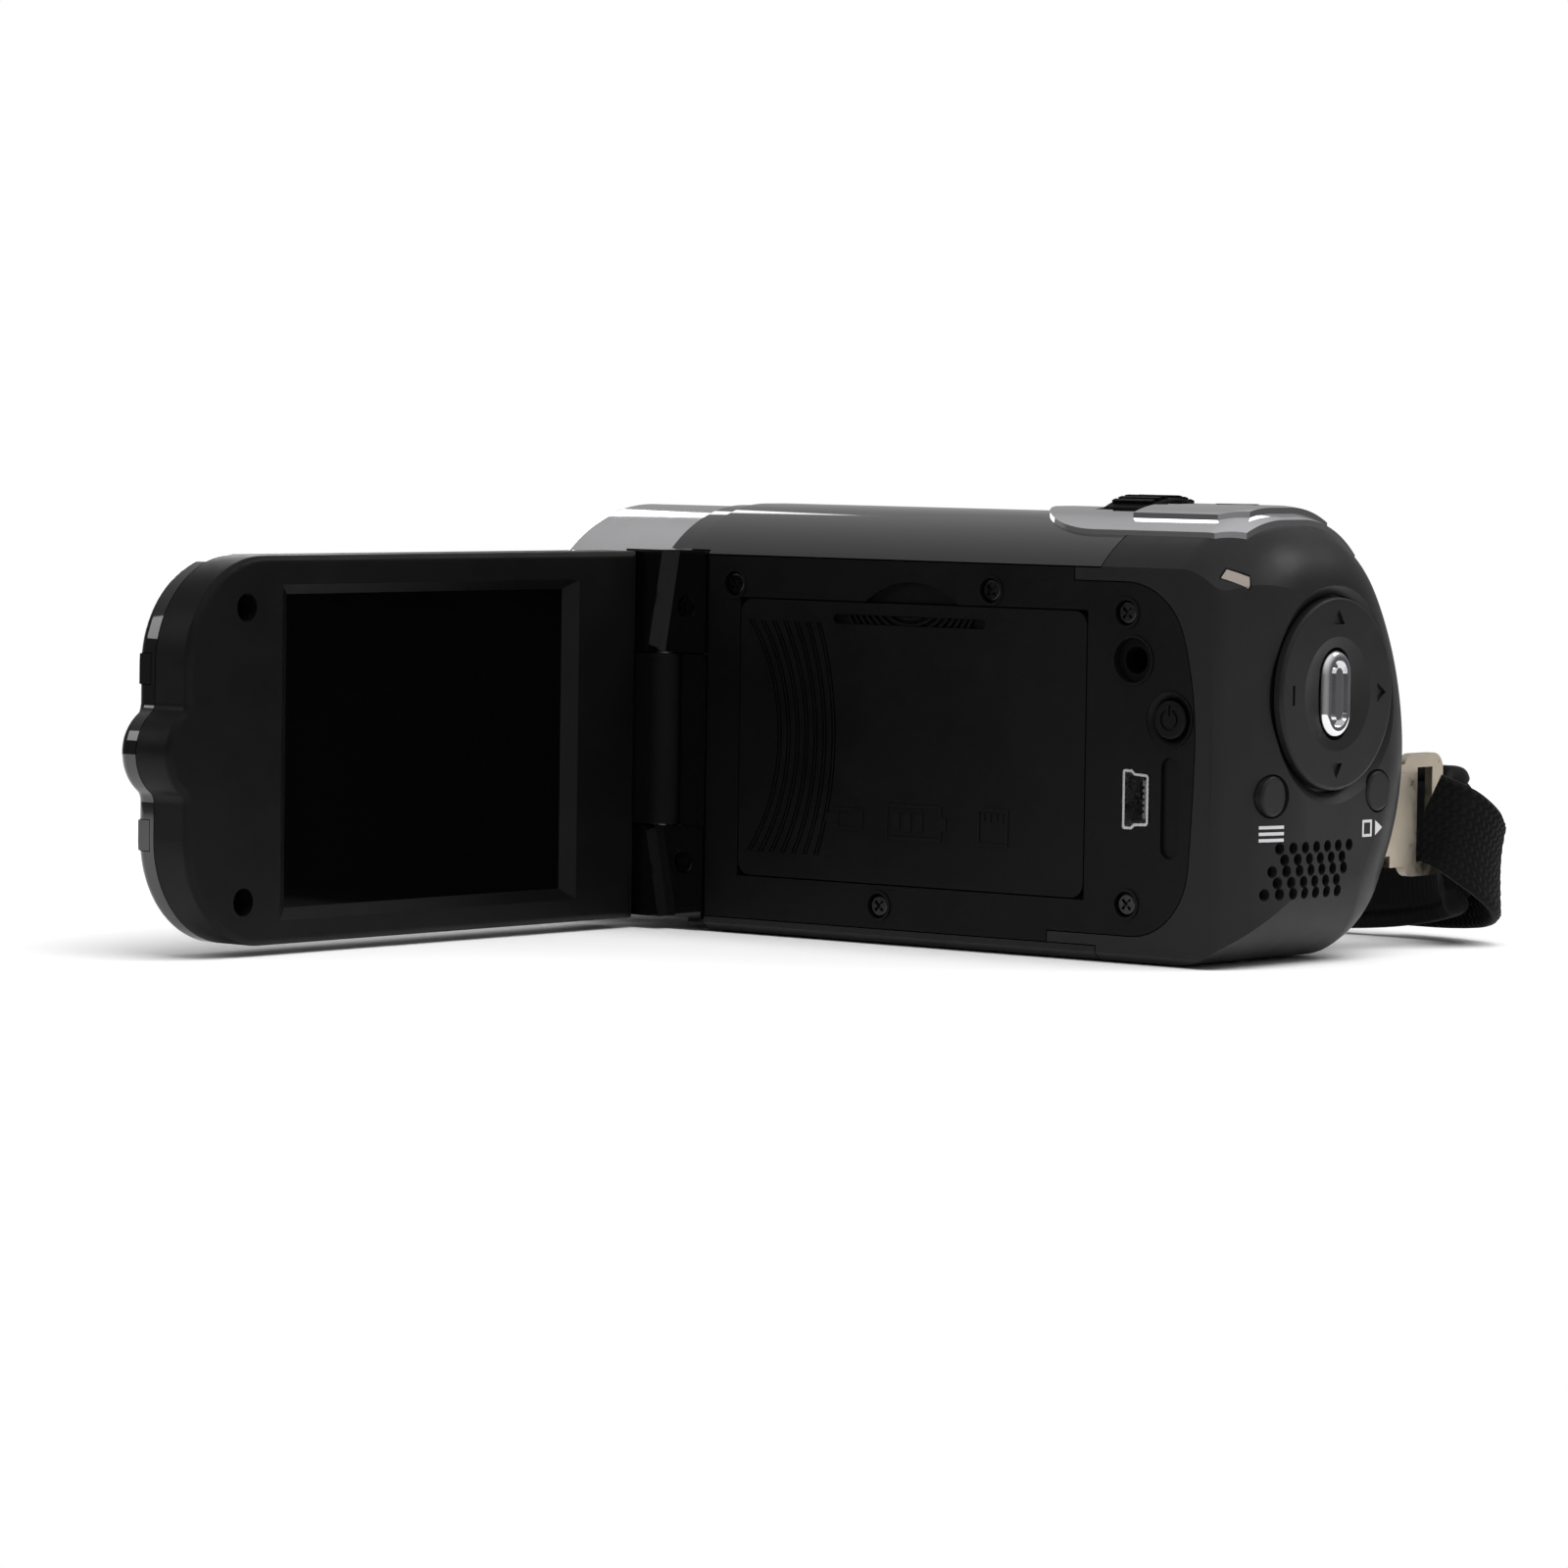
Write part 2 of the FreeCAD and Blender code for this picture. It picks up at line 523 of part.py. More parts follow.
# ---------------------------------------------------------------- ports and controls
def av_jack():
    y, z = AV_JACK
    body = rod((6.0, y, z), (1, 0, 0), 2.95, SIDE_X - 6.0 - 0.8)
    body = body.fuse(box((6.0, 15.8), (y - 3.4, y + 3.4), (z - 3.4, z + 3.4)))
    return body.cut(rod((7.5, y, z), (1, 0, 0), 1.8, 20)).removeSplitter()


def usb_socket():
    y, z = USB_PORT
    metal = 0.35
    shape = grown(usb_wire(9.5), 0.0).extrude(V(SIDE_X + 0.1 - 9.5, 0, 0))
    shape = shape.cut(grown(usb_wire(10.5), -metal).extrude(V(20, 0, 0)))
    tongue = box((10.5, SIDE_X - 0.9), (y + 0.45, y + 1.45), (z - 2.5, z + 2.5))
    for step in range(5):
        pin_z = z + (step - 2) * 0.8
        tongue = tongue.cut(box((14.0, 20), (y, y + 0.75), (pin_z - 0.2, pin_z + 0.2)))
    save("usb_socket", shape.removeSplitter())
    save("usb_tongue", tongue)


def round_button(x, z, radius, face_y, depth):
    """Rear button that slides along Y, with a softened front edge and a retaining flange."""
    cap = rod((x, face_y - depth, z), (0, 1, 0), radius, depth)
    rim_edge = [e for e in cap.Edges if e.BoundBox.YMin > face_y - 0.01]
    cap = cap.makeFillet(0.4, rim_edge)
    return cap.fuse(rod((x, face_y - depth, z), (0, 1, 0), radius + 0.6, 0.8)).removeSplitter()


def power_button():
    y, z = POWER
    cap = rod((SIDE_X - 3.6, y, z), (1, 0, 0), 2.6, 3.6)
    cap = cap.makeFillet(0.35, [e for e in cap.Edges if e.BoundBox.XMin > SIDE_X - 0.01])
    symbol = ring((SIDE_X - 0.2, y, z), (1, 0, 0), 1.45, 1.1, 1).cut(
        box((10, 30), (y - 0.5, y + 0.5), (z + 0.6, z + 3)))
    symbol = symbol.fuse(box((SIDE_X - 0.2, 30), (y - 0.16, y + 0.16), (z + 0.5, z + 1.9)))
    return cap.cut(symbol).fuse(rod((SIDE_X - 3.6, y, z), (1, 0, 0), 3.6, 0.7)).removeSplitter()


def nav_pad():
    """Four-way pad: flat ring, dished middle, hole for the record button, pressed-in arrows."""
    back = REAR_Y - 0.75
    pad = rod((NAV_X, back, NAV_Z), (0, 1, 0), NAV_R, 1.25)
    pad = pad.makeFillet(0.5, [e for e in pad.Edges if e.BoundBox.YMin > back + 1.2])
    pad = pad.fuse(rod((NAV_X, back - 1.2, NAV_Z), (0, 1, 0), 6.6, 1.3))
    for side in (-1, 1):
        leg = box(sorted((NAV_X + side * 4.0, NAV_X + side * 5.8)), (GIMBAL_Y - 0.9, back - 1.1),
                  (NAV_Z - 1.1, NAV_Z + 1.1))
        pad = pad.fuse(leg).fuse(rod((NAV_X + side * 5.0, GIMBAL_Y, NAV_Z), (side, 0, 0), JOURNAL_R, 2.1))
    dish = Part.makeSphere(34.0, V(NAV_X, back + 1.25 + 34.0 - 0.85, NAV_Z))
    pad = pad.cut(dish)
    pad = pad.cut(slot_y(NAV_X, NAV_Z, 7.0, 12.3, back - 3, 9))
    mark_y = back + 0.85
    tip_r = 11.2
    base_r = 9.2
    half = 1.3
    for dx, dz in ((0, 1), (0, -1), (-1, 0)):
        tip = (NAV_X + dx * tip_r, mark_y, NAV_Z + dz * tip_r)
        left = (NAV_X + dx * base_r - dz * half, mark_y, NAV_Z + dz * base_r + dx * half)
        right = (NAV_X + dx * base_r + dz * half, mark_y, NAV_Z + dz * base_r - dx * half)
        pad = pad.cut(prism([tip, left, right], (0, 2, 0)))
    pad = pad.cut(box((NAV_X + 9.8, NAV_X + 10.3), (mark_y, mark_y + 2), (NAV_Z - 1.3, NAV_Z + 1.3)))
    return pad.removeSplitter()


def nav_carrier():
    """Gimbal ring behind the pad: two journals along Z in the casing, two bores along X for the pad."""
    gimbal = ring((NAV_X, GIMBAL_Y - 1.0, NAV_Z), (0, 1, 0), 7.4, 6.2, 2.0)
    for side in (-1, 1):
        gimbal = gimbal.fuse(rod((NAV_X, GIMBAL_Y, NAV_Z + side * 6.9), (0, 0, side), JOURNAL_R, 2.4))
    return gimbal.cut(rod((NAV_X - 9, GIMBAL_Y, NAV_Z), (1, 0, 0), JOURNAL_R + RUN, 18)).removeSplitter()


def record_button():
    face = REAR_Y + 0.75
    button = slot_y(NAV_X, NAV_Z, 6.3, 11.6, REAR_Y - 6.0, face - REAR_Y + 6.0)
    rim_edge = [e for e in button.Edges if e.BoundBox.YMin > face - 0.01]
    button = button.makeFillet(0.9, rim_edge)
    groove = slot_y(NAV_X, NAV_Z, 3.6, 8.9, face - 0.7, 3)
    bar = slot_y(NAV_X, NAV_Z, 1.6, 6.9, face - 0.9, 0.85)
    return button.cut(groove).fuse(bar).removeSplitter()


ROCKER_PIVOT_Z = 46.0


def zoom_rocker():
    """Arched zoom lever that rocks from side to side, with six grip ribs along its length."""
    radius = 61.3 - ROCKER_PIVOT_Z
    front = 22.2
    length = 7.8
    arch = rod((PLATE_X, front, ROCKER_PIVOT_Z), (0, 1, 0), radius - 0.4, length)
    arch = arch.common(box((PLATE_X - 6.3, PLATE_X + 6.3), (0, 60), (57.2, 70)))
    arch = arch.makeFillet(0.4, [e for e in arch.Edges if e.BoundBox.ZMin > 59.0])
    for side in (-1, 1):
        for step in range(3):
            angle = side * (6.0 + step * 5.6)
            rib = box((PLATE_X - 0.4, PLATE_X + 0.4), (front + 0.6, front + length - 0.6),
                      (ROCKER_PIVOT_Z + radius - 1.4, ROCKER_PIVOT_Z + radius))
            rib.rotate(V(PLATE_X, 0, ROCKER_PIVOT_Z), V(0, 1, 0), angle)
            arch = arch.fuse(rib)
    stem = box((PLATE_X - 1.6, PLATE_X + 1.6), (front + 1.4, front + length - 1.4), (ROCKER_PIVOT_Z, 58.0))
    hub = rod((PLATE_X, front + 1.4, ROCKER_PIVOT_Z), (0, 1, 0), 2.2, length - 2.8)
    lever = arch.fuse(stem).fuse(hub)
    return lever.cut(rod((PLATE_X, 0, ROCKER_PIVOT_Z), (0, 1, 0), 1.0 + RUN, 60)).removeSplitter()


def rocker_axle():
    """Pin and its yoke, hung under the roof."""
    pin = rod((PLATE_X, 20.6, ROCKER_PIVOT_Z), (0, 1, 0), 1.0, 11.0)
    for y in (20.6, 30.6):
        pin = pin.fuse(box((PLATE_X - 2, PLATE_X + 2), (y, y + 1.0), (ROCKER_PIVOT_Z - 2, 56.7)))
    return pin.removeSplitter()


def shutter_button():
    low = 54.6
    top = 60.35
    dish_r = 9.0
    cap = rod((PLATE_X, 40.0, low), (0, 0, 1), 2.9, top - low)
    cap = cap.cut(Part.makeSphere(dish_r, V(PLATE_X, 40.0, top + dish_r - 0.5)))
    return cap.fuse(rod((PLATE_X, 40.0, low), (0, 0, 1), 3.9, 0.8)).removeSplitter()


def plate_outline(half, tip_y, rear_y):
    """Top view of the chrome plate: round front, square rear with cut corners."""
    cut_x = 2.5
    cut_y = 3.4
    centre = tip_y + half
    arc = [((PLATE_X + half, centre), (PLATE_X, tip_y), (PLATE_X - half, centre))]
    rest = lines((PLATE_X - half, centre), (PLATE_X - half, rear_y - cut_y), (PLATE_X - half + cut_x, rear_y),
                 (PLATE_X + half - cut_x, rear_y), (PLATE_X + half, rear_y - cut_y), (PLATE_X + half, centre))
    return Part.Face(outline(arc + rest, lambda p: V(p[0], p[1], 40))).extrude(V(0, 0, 40))


def raised(solid, height):
    copy = solid.copy()
    copy.translate(V(0, height * 0.4, height))
    return copy


def top_plate(outer):
    """Chrome plate that follows the dome, with a raised step around the shutter button."""
    plate = raised(outer, PLATE_PROUD).cut(outer).common(plate_outline(PLATE_HALF, 12.5, 50.5))
    step = raised(outer, STEP_PROUD).cut(outer).common(plate_outline(PLATE_HALF - 3.6, 20.4, 48.4))
    step = step.common(box((-60, 60), (31.2, 60), (0, 80)))
    plate = plate.fuse(step)
    plate = plate.cut(box((PLATE_X - 7.3, PLATE_X + 7.3), (21.8, 30.4), (50, 70)))
    plate = plate.cut(rod((PLATE_X, 40.0, 50), (0, 0, 1), 3.1, 20))
    return max(plate.Solids, key=lambda s: s.Volume).removeSplitter()


def battery_door():
    """Lift-off door with seven double grooves, a finger slot and small grip ribs."""
    door = box((SIDE_X - DOOR_THICK, SIDE_X), DOOR_Y, DOOR_Z)
    door = door.makeFillet(2.0, [e for e in door.Edges if e.BoundBox.XLength > 1])
    clip = box((SIDE_X - 3.4, SIDE_X - DOOR_THICK + 0.1), (-3.0, 3.0), (DOOR_Z[0] + 1.4, DOOR_Z[0] + 2.4))
    for index in range(7):
        end_y = -27.1 + 1.98 * index
        crest = 5.3 - 0.4 * index
        span = 15.9
        radius = (span * span + crest * crest) / (2 * crest)
        centre_y = end_y + crest - radius
        for offset in (0.0, 0.5):
            groove = ring((SIDE_X - 0.25, centre_y, 27.2), (1, 0, 0), radius + offset + 0.13,
                          radius + offset - 0.13, 1.0)
            door = door.cut(groove.common(box((0, 30), (-28.0, -8.0), (27.2 - span, 27.2 + span))))
    finger = slot_x(0, 0, 1.3, 26.1, SIDE_X - 0.8, 3.0)
    finger.rotate(V(0, 0, 0), V(1, 0, 0), 90)
    finger.translate(V(0, 0.65, 43.7))
    door = door.cut(finger)
    # fan of curved ribs on the floor of the finger slot
    mouth = box((SIDE_X - 0.81, SIDE_X - 0.2), (-11.0, 12.3), (43.12, 44.28))
    ribs = [ring((SIDE_X - 1, 0.65, 50.2), (1, 0, 0), 6.35 + step * 0.85, 6.0 + step * 0.85, 2).common(mouth)
            for step in range(8)]
    return door.fuse(clip).fuse(ribs).removeSplitter()


# ---------------------------------------------------------------- screws
def screw_x(y, z, head_x, radius, length):
    """Cross-head screw that faces +X, with a domed head."""
    head = rod((head_x - 0.6, y, z), (1, 0, 0), radius, 0.6)
    head = head.makeFillet(0.25, [e for e in head.Edges if e.BoundBox.XMin > head_x - 0.01])
    for angle in (45, 135):
        bit = box((head_x - 0.4, head_x + 1), (y - radius * 0.65, y + radius * 0.65), (z - 0.2, z + 0.2))
        bit.rotate(V(0, y, z), V(1, 0, 0), angle)
        head = head.cut(bit)
    return head.fuse(rod((head_x - length, y, z), (1, 0, 0), 0.75, length - 0.5)).removeSplitter()


def screw_y(x, z, head_y, radius, length):
    """Cross-head screw that faces +Y."""
    head = rod((x, head_y - 0.6, z), (0, 1, 0), radius, 0.6)
    for angle in (45, 135):
        bit = box((x - radius * 0.65, x + radius * 0.65), (head_y - 0.4, head_y + 1), (z - 0.2, z + 0.2))
        bit.rotate(V(x, 0, z), V(0, 1, 0), angle)
        head = head.cut(bit)
    return head.fuse(rod((x, head_y - length, z), (0, 1, 0), 0.75, length - 0.5)).removeSplitter()


# ---------------------------------------------------------------- hinge and screen
def hinge_ear(low, high, flare):
    """Fixed glossy ear around the pin, flat beside the panel, with a slanted nose beside the screen."""
    face_x = SIDE_X + 0.5
    ear = rod((HINGE_X, HINGE_Y, low), (0, 0, 1), KNUCKLE_R, high - low)
    ear = ear.common(box((0, face_x), (-60, 0), (0, 60)))
    ear = ear.fuse(box((BAY_X + 0.1, face_x), (HINGE_Y, -34.9), (low, high)))
    sections = []
    for z, setback in ((low, flare), (high, 2.5 - flare)):
        edge_y = -43.5 + setback
        corners = [(SIDE_X, edge_y + 0.3), (SIDE_X + 0.6, edge_y + 0.3), (NOSE_X, edge_y), (NOSE_X, -47.6),
                   (SIDE_X, -48.4), (SIDE_X, edge_y + 0.3)]
        sections.append(Part.makePolygon([V(x, y, z) for x, y in corners]))
    return ear.fuse(Part.makeLoft(sections, True, True)).removeSplitter()


def hinge_web():
    """Wall of the lower ear that closes the recess behind the moving knuckle."""
    return box((BAY_X + 0.1, SIDE_X + 0.1), (-39.1, -34.9), (EAR_LOW_Z[1] - 0.5, EAR_HIGH_Z[0] - 0.2))


PIN_R = 1.2
PINS = [(4.1, 18.0), (31.0, 14.0)]      # foot height and length of each hinge pin


def hinge_ears():
    for node, (low, high), (y, z), flare in (("hinge_ear_lower", EAR_LOW_Z, EAR_SCREWS[1], 2.5),
                                             ("hinge_ear_upper", EAR_HIGH_Z, EAR_SCREWS[0], 0.0)):
        ear = hinge_ear(low, high, flare)
        if low == EAR_LOW_Z[0]:
            ear = ear.fuse(hinge_web())
        ear = ear.cut(rod((SIDE_X - 0.5, y, z), (1, 0, 0), 1.6, 3))
        ear = ear.cut(rod((0, y, z), (1, 0, 0), 0.85, 30))
        for foot, length in PINS:
            ear = ear.cut(rod((HINGE_X, HINGE_Y, foot - 0.1), (0, 0, 1), PIN_R, length + 0.1))
        save(node, ear.removeSplitter())
    pins = [rod((HINGE_X, HINGE_Y, foot), (0, 0, 1), PIN_R, length) for foot, length in PINS]
    save("hinge_pins", Part.makeCompound(pins))
    frame = box((BAY_X - 2.0, BAY_X - 0.1), (-40.0, -30.5), (3.0, 49.8))
    for y, z in EAR_SCREWS:
        frame = frame.cut(rod((0, y, z), (1, 0, 0), 0.75, 30))
    save("hinge_frame", frame)


def hinge_block():
    """Moving knuckle, its arm and the swivel shaft that carries the screen."""
    low, high = KNUCKLE_Z
    block = rod((HINGE_X, HINGE_Y, low), (0, 0, 1), KNUCKLE_R, high - low)
    block = block.fuse(box((18.3, 20.6), (SWIVEL_Y - 3.6, HINGE_Y), (low, high)))
    block = block.cut(rod((HINGE_X, HINGE_Y, 0), (0, 0, 1), 1.2 + RUN, 60))
    return block.removeSplitter()


def lcd_outline(y, inset=0.0):
    """Screen housing outline: square hinge side, large corners and a finger tab on the free side."""
    x0, x1 = LCD_X[0], LCD_X[1]
    z0, z1 = LCD_Z
    r = LCD_CORNER_R
    k = r * (1 - math.sqrt(0.5))
    loop = lines((x0, z0), (x1 - r, z0)) + [((x1 - r, z0), (x1 - k, z0 + k), (x1, z0 + r))]
    loop += lines((x1, z0 + r), (x1, z1 - r)) + [((x1, z1 - r), (x1 - k, z1 - k), (x1 - r, z1))]
    loop += lines((x1 - r, z1), (x0, z1), (x0, z0))
    wire = outline(loop, lambda p: V(p[0], y, p[1]))
    return grown(wire, -inset)


def lcd_blank(front_y, back_y, inset=0.0):
    """Solid of the housing between two planes, with the tab."""
    body = lcd_outline(front_y, inset).extrude(V(0, back_y - front_y, 0))
    tab_x = TAB_END_X - TAB_R
    tab = rod((tab_x, back_y, SWIVEL_Z), (0, 1, 0), TAB_R - inset, front_y - back_y)
    body = body.fuse(tab).removeSplitter()
    waist = [e for e in body.Edges if e.BoundBox.YLength > 1 and e.BoundBox.Center.x > LCD_X[1] - inset - 0.3
             and abs(abs(e.BoundBox.Center.z - SWIVEL_Z) - TAB_R) < 1.2]
    return body.makeFillet(1.6, waist) if inset == 0 else body


SCREEN_X = (35.3, 90.0)
SCREEN_Z = (5.8, 47.0)
LCD_SCREWS = [(98.9, 45.4), (99.1, 7.0)]


def window_wire(x, z, y):
    corners = [(x[0], z[0]), (x[1], z[0]), (x[1], z[1]), (x[0], z[1]), (x[0], z[0])]
    return Part.makePolygon([V(a, y, b) for a, b in corners])


def lcd_bezel():
    split = LCD_FACE_Y - LCD_SPLIT
    body = lcd_blank(LCD_FACE_Y, split)
    face_edges = [e for e in body.Edges if e.BoundBox.YMin > LCD_FACE_Y - 0.01]
    body = body.makeFillet(0.9, face_edges)
    body = body.cut(lcd_blank(LCD_FACE_Y - 1.5, split - 1, 1.5))
    pocket = box((33.0, 92.4), (split - 1, LCD_FACE_Y - 1.4), (4.0, 48.6))
    rim_block = box((31.5, 93.8), (split + 2.2, LCD_FACE_Y - 1.0), (2.7, 49.8))
    body = body.fuse(rim_block).cut(pocket)
    outer_frame = window_wire((33.2, 92.2), (4.3, 48.3), LCD_FACE_Y)
    inner_frame = window_wire(SCREEN_X, SCREEN_Z, LCD_FACE_Y - 1.4)
    body = body.cut(Part.makeLoft([outer_frame, inner_frame], True))
    for x, z in LCD_SCREWS:
        post = ring((x, split + 0.1, z), (0, 1, 0), 3.0, 0.75, LCD_SPLIT - 0.5)
        body = body.fuse(post).cut(rod((x, LCD_FACE_Y - 3.4, z), (0, 1, 0), 1.85, 5))
    bush_hole = rod((LCD_X[0] - 1, SWIVEL_Y, SWIVEL_Z), (1, 0, 0), 3.1, 9.2)
    body = body.fuse(box((LCD_X[0], LCD_X[0] + 8.0), (split + 0.1, LCD_FACE_Y - 0.9),
                         (SWIVEL_Z - 5, SWIVEL_Z + 5)))
    return body.cut(bush_hole).removeSplitter()


def lcd_cover():
    split = LCD_FACE_Y - LCD_SPLIT - 0.12
    back = LCD_FACE_Y - LCD_THICK
    body = lcd_blank(split, back)
    body = body.makeFillet(1.6, [e for e in body.Edges if e.BoundBox.YMax < back + 0.01])
    body = body.cut(lcd_blank(split + 1, back + 1.5, 1.6))
    body = body.fuse(box((LCD_X[0], LCD_X[0] + 8.0), (back + 0.5, split), (SWIVEL_Z - 5, SWIVEL_Z + 5)))
    for x, z in LCD_SCREWS:
        body = body.fuse(ring((x, back + 1.0, z), (0, 1, 0), 2.6, 0.76, split - back - 1.0))
    body = body.cut(rod((LCD_X[0] - 1, SWIVEL_Y, SWIVEL_Z), (1, 0, 0), 3.1, 9.2))
    for side in (-1, 1):
        body = body.cut(trim_zone(side, 0.1))
    return body.removeSplitter()


def trim_zone(side, grow):
    """Strip of the cover's free edge, above or below the tab."""
    low = TAB_R + 2.5 - grow
    high = TAB_R + 6.5 + grow
    z = sorted((SWIVEL_Z + side * low, SWIVEL_Z + side * high))
    back = LCD_FACE_Y - LCD_THICK
    return box((LCD_X[1] - 5.0 - grow, LCD_X[1] + 5), (back + 0.6 - grow, back + 2.6 + grow), (z[0], z[1]))


def lcd_parts():
    save("lcd_bezel", lcd_bezel())
    save("lcd_cover", lcd_cover())
    back = LCD_FACE_Y - LCD_THICK
    trims = []
    for side in (-1, 1):
        blank = lcd_blank(LCD_FACE_Y - LCD_SPLIT - 0.12, back).common(trim_zone(side, 0.0))
        trims.append(blank)
    save("lcd_trims", Part.makeCompound(trims))
    glass_y = LCD_FACE_Y - 1.45
    save("lcd_glass", box((33.2, 92.2), (glass_y - 0.9, glass_y), (4.2, 48.4)))
    save("lcd_display", box((33.6, 91.8), (glass_y - 3.0, glass_y - 0.95), (4.6, 48.0)))
    save("lcd_screws", Part.makeCompound([screw_y(x, z, LCD_FACE_Y - 2.8, 1.6, 5.0) for x, z in LCD_SCREWS]))
    save("swivel_bush", ring((LCD_X[0] + 0.2, SWIVEL_Y, SWIVEL_Z), (1, 0, 0), 3.05, SHAFT_R + RUN, 7.8))
    shaft = rod((20.6, SWIVEL_Y, SWIVEL_Z), (1, 0, 0), SHAFT_R, 9.6)
    shaft = shaft.fuse(rod((29.2, SWIVEL_Y, SWIVEL_Z), (1, 0, 0), 2.9, 1.0))
    save("swivel_shaft", shaft.removeSplitter())
    save("hinge_block", hinge_block())


# ---------------------------------------------------------------- hand strap
REAR_LUG_Y = 48.0
LUG_ROOT_X = -27.0      # where the wide part of a lug starts, beside the casing
FRONT_LUG_Y = -30.0
STRAP_Z = 18.0
WEB_WIDTH = 12.0
WEB_THICK = 1.5
PAD_WIDTH = 24.6
PAD_THICK = 4.6
PAD_Z = 12.5            # middle height of the pad


def strap_lug(y, reach):
    """Steel plate that stands out of the hand side, with an upright slot for the webbing."""
    foot = (LUG_ROOT_X + 7.2, LUG_ROOT_X + 8.4)
    plate = box(foot, (y - 4.0, y + 1.2), (12.6, 23.4))
    plate = plate.fuse(box((LUG_ROOT_X - 1.0, foot[1]), (y - 0.6, y + 0.6), (12.6, 23.4)))
    neck = box((LUG_ROOT_X - 6.0, LUG_ROOT_X - 0.4), (y - 0.6, y + 0.6), (STRAP_Z - 7.0, STRAP_Z + 7.0))
    face = box((LUG_ROOT_X - reach, LUG_ROOT_X - 3.4), (y - 0.6, y + 0.6), (STRAP_Z - 8.4, STRAP_Z + 8.4))
    face = face.makeFillet(2.4, [e for e in face.Edges if e.BoundBox.YLength > 1])
    plate = plate.fuse(neck).fuse(face)
    slot = box((LUG_ROOT_X - reach + 2.6, LUG_ROOT_X - reach + 6.2), (y - 2, y + 2),
               (STRAP_Z - WEB_WIDTH / 2 - 0.5, STRAP_Z + WEB_WIDTH / 2 + 0.5))
    return plate.cut(slot).removeSplitter()


def band(points, thick, height, z_mid):
    """Upright band whose middle line is a smooth curve through points in plan."""
    curve = Part.BSplineCurve()
    curve.interpolate([V(x, y, z_mid - height / 2) for x, y in points])
    steps = 40
    first, last = curve.FirstParameter, curve.LastParameter
    left = []
    right = []
    for index in range(steps + 1):
        t = first + (last - first) * index / steps
        point = curve.value(t)
        tangent = curve.tangent(t)[0]
        normal = V(-tangent.y, tangent.x, 0) * (thick / 2)
        left.append(point + normal)
        right.append(point - normal)
    side_a = Part.BSplineCurve()
    side_a.interpolate(left)
    side_b = Part.BSplineCurve()
    side_b.interpolate(right)
    edges = [side_a.toShape(), Part.LineSegment(left[-1], right[-1]).toShape(), side_b.toShape(),
             Part.LineSegment(right[0], left[0]).toShape()]
    return Part.Face(Part.Wire(Part.__sortEdges__(edges))).extrude(V(0, 0, height))


def dropped(shape, x, y, slope_x, slope_y):
    """Sheared copy that falls away from the upright line through (x, y)."""
    shear = FreeCAD.Matrix()
    shear.A31 = slope_x
    shear.A32 = slope_y
    shear.A34 = -slope_x * x - slope_y * y
    return shape.transformGeometry(shear)


def strap():
    save("strap_lug_rear", strap_lug(REAR_LUG_Y, 13.0))
    save("strap_lug_front", strap_lug(FRONT_LUG_Y, 9.0))
    save("strap_pad", band([(-39.5, -21.0), (-45.0, -5.0), (-48.2, 12.0), (-49.2, 29.0), (-48.7, 39.0),
                            (-46.8, 45.6), (-42.9, 47.6)], PAD_THICK, PAD_WIDTH, PAD_Z))
    front = band([(-31.6, -30.6), (-33.2, -33.8), (-36.0, -32.6), (-38.0, -27.5), (-39.3, -22.0)],
                 WEB_THICK, WEB_WIDTH, STRAP_Z)
    rear = band([(-35.6, 49.0), (-38.0, 52.2), (-42.4, 53.9), (-46.8, 52.7), (-50.5, 48.4), (-52.9, 41.8)],
                WEB_THICK, WEB_WIDTH, STRAP_Z)
    rear = dropped(rear, -35.6, 49.0, 0.65, 0.0)
    save("strap_webbing", Part.makeCompound([front, rear]))


# ---------------------------------------------------------------- whole object
def main():
    os.makedirs(PARTS, exist_ok=True)
    outer = casing(0.0)
    inner = cavity()
    save("side_panel", side_panel())
    save("rear_shell", rear_shell(outer, inner))
    save("top_cover", top_cover(outer, inner))
    save("grip_shell", grip_shell(outer, inner))
    save("front_band", front_band())
    save("top_plate", top_plate(outer))
    save("light_pipe", light_pipe(outer))
    save("lens_ring", lens_ring())
    save("lens_bezel", lens_bezel())
    lens_group()
    front_lamp()
    save("battery_door", battery_door())
    save("battery_tray", battery_bay())
    save("battery_pack", battery())
    save("battery_contacts", battery_contacts())
    card_parts()
    save("main_board", main_board())
    save("tripod_nut", tripod_nut())
    rear_electronics()
    save("av_jack", av_jack())
    usb_socket()
    save("power_button", power_button())
    save("menu_button", round_button(MENU_XZ[0], MENU_XZ[1], 2.7, REAR_Y - 0.6, 4.6))
    save("mode_button", round_button(MODE_XZ[0], MODE_XZ[1], 2.7, REAR_Y + 0.25, 5.4))
    save("nav_pad", nav_pad())
    save("nav_carrier", nav_carrier())
    save("record_button", record_button())
    save("zoom_rocker", zoom_rocker())
    save("rocker_axle", rocker_axle())
    save("shutter_button", shutter_button())
    screws = [screw_x(y, z, SIDE_X - 0.2, 1.45, 5.5) for y, z in PANEL_SCREWS]
    screws += [screw_x(y, z, SIDE_X + 0.1, 1.45, 7.4) for y, z in EAR_SCREWS]
    save("body_screws", Part.makeCompound(screws))
    hinge_ears()
    lcd_parts()
    strap()


main()
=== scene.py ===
"""Looks of the compact camcorder: materials, strap, generic marks, floor, light and camera."""
import json
import math

import bmesh
import bpy
from mathutils import Matrix, Vector
from mathutils.bvhtree import BVHTree


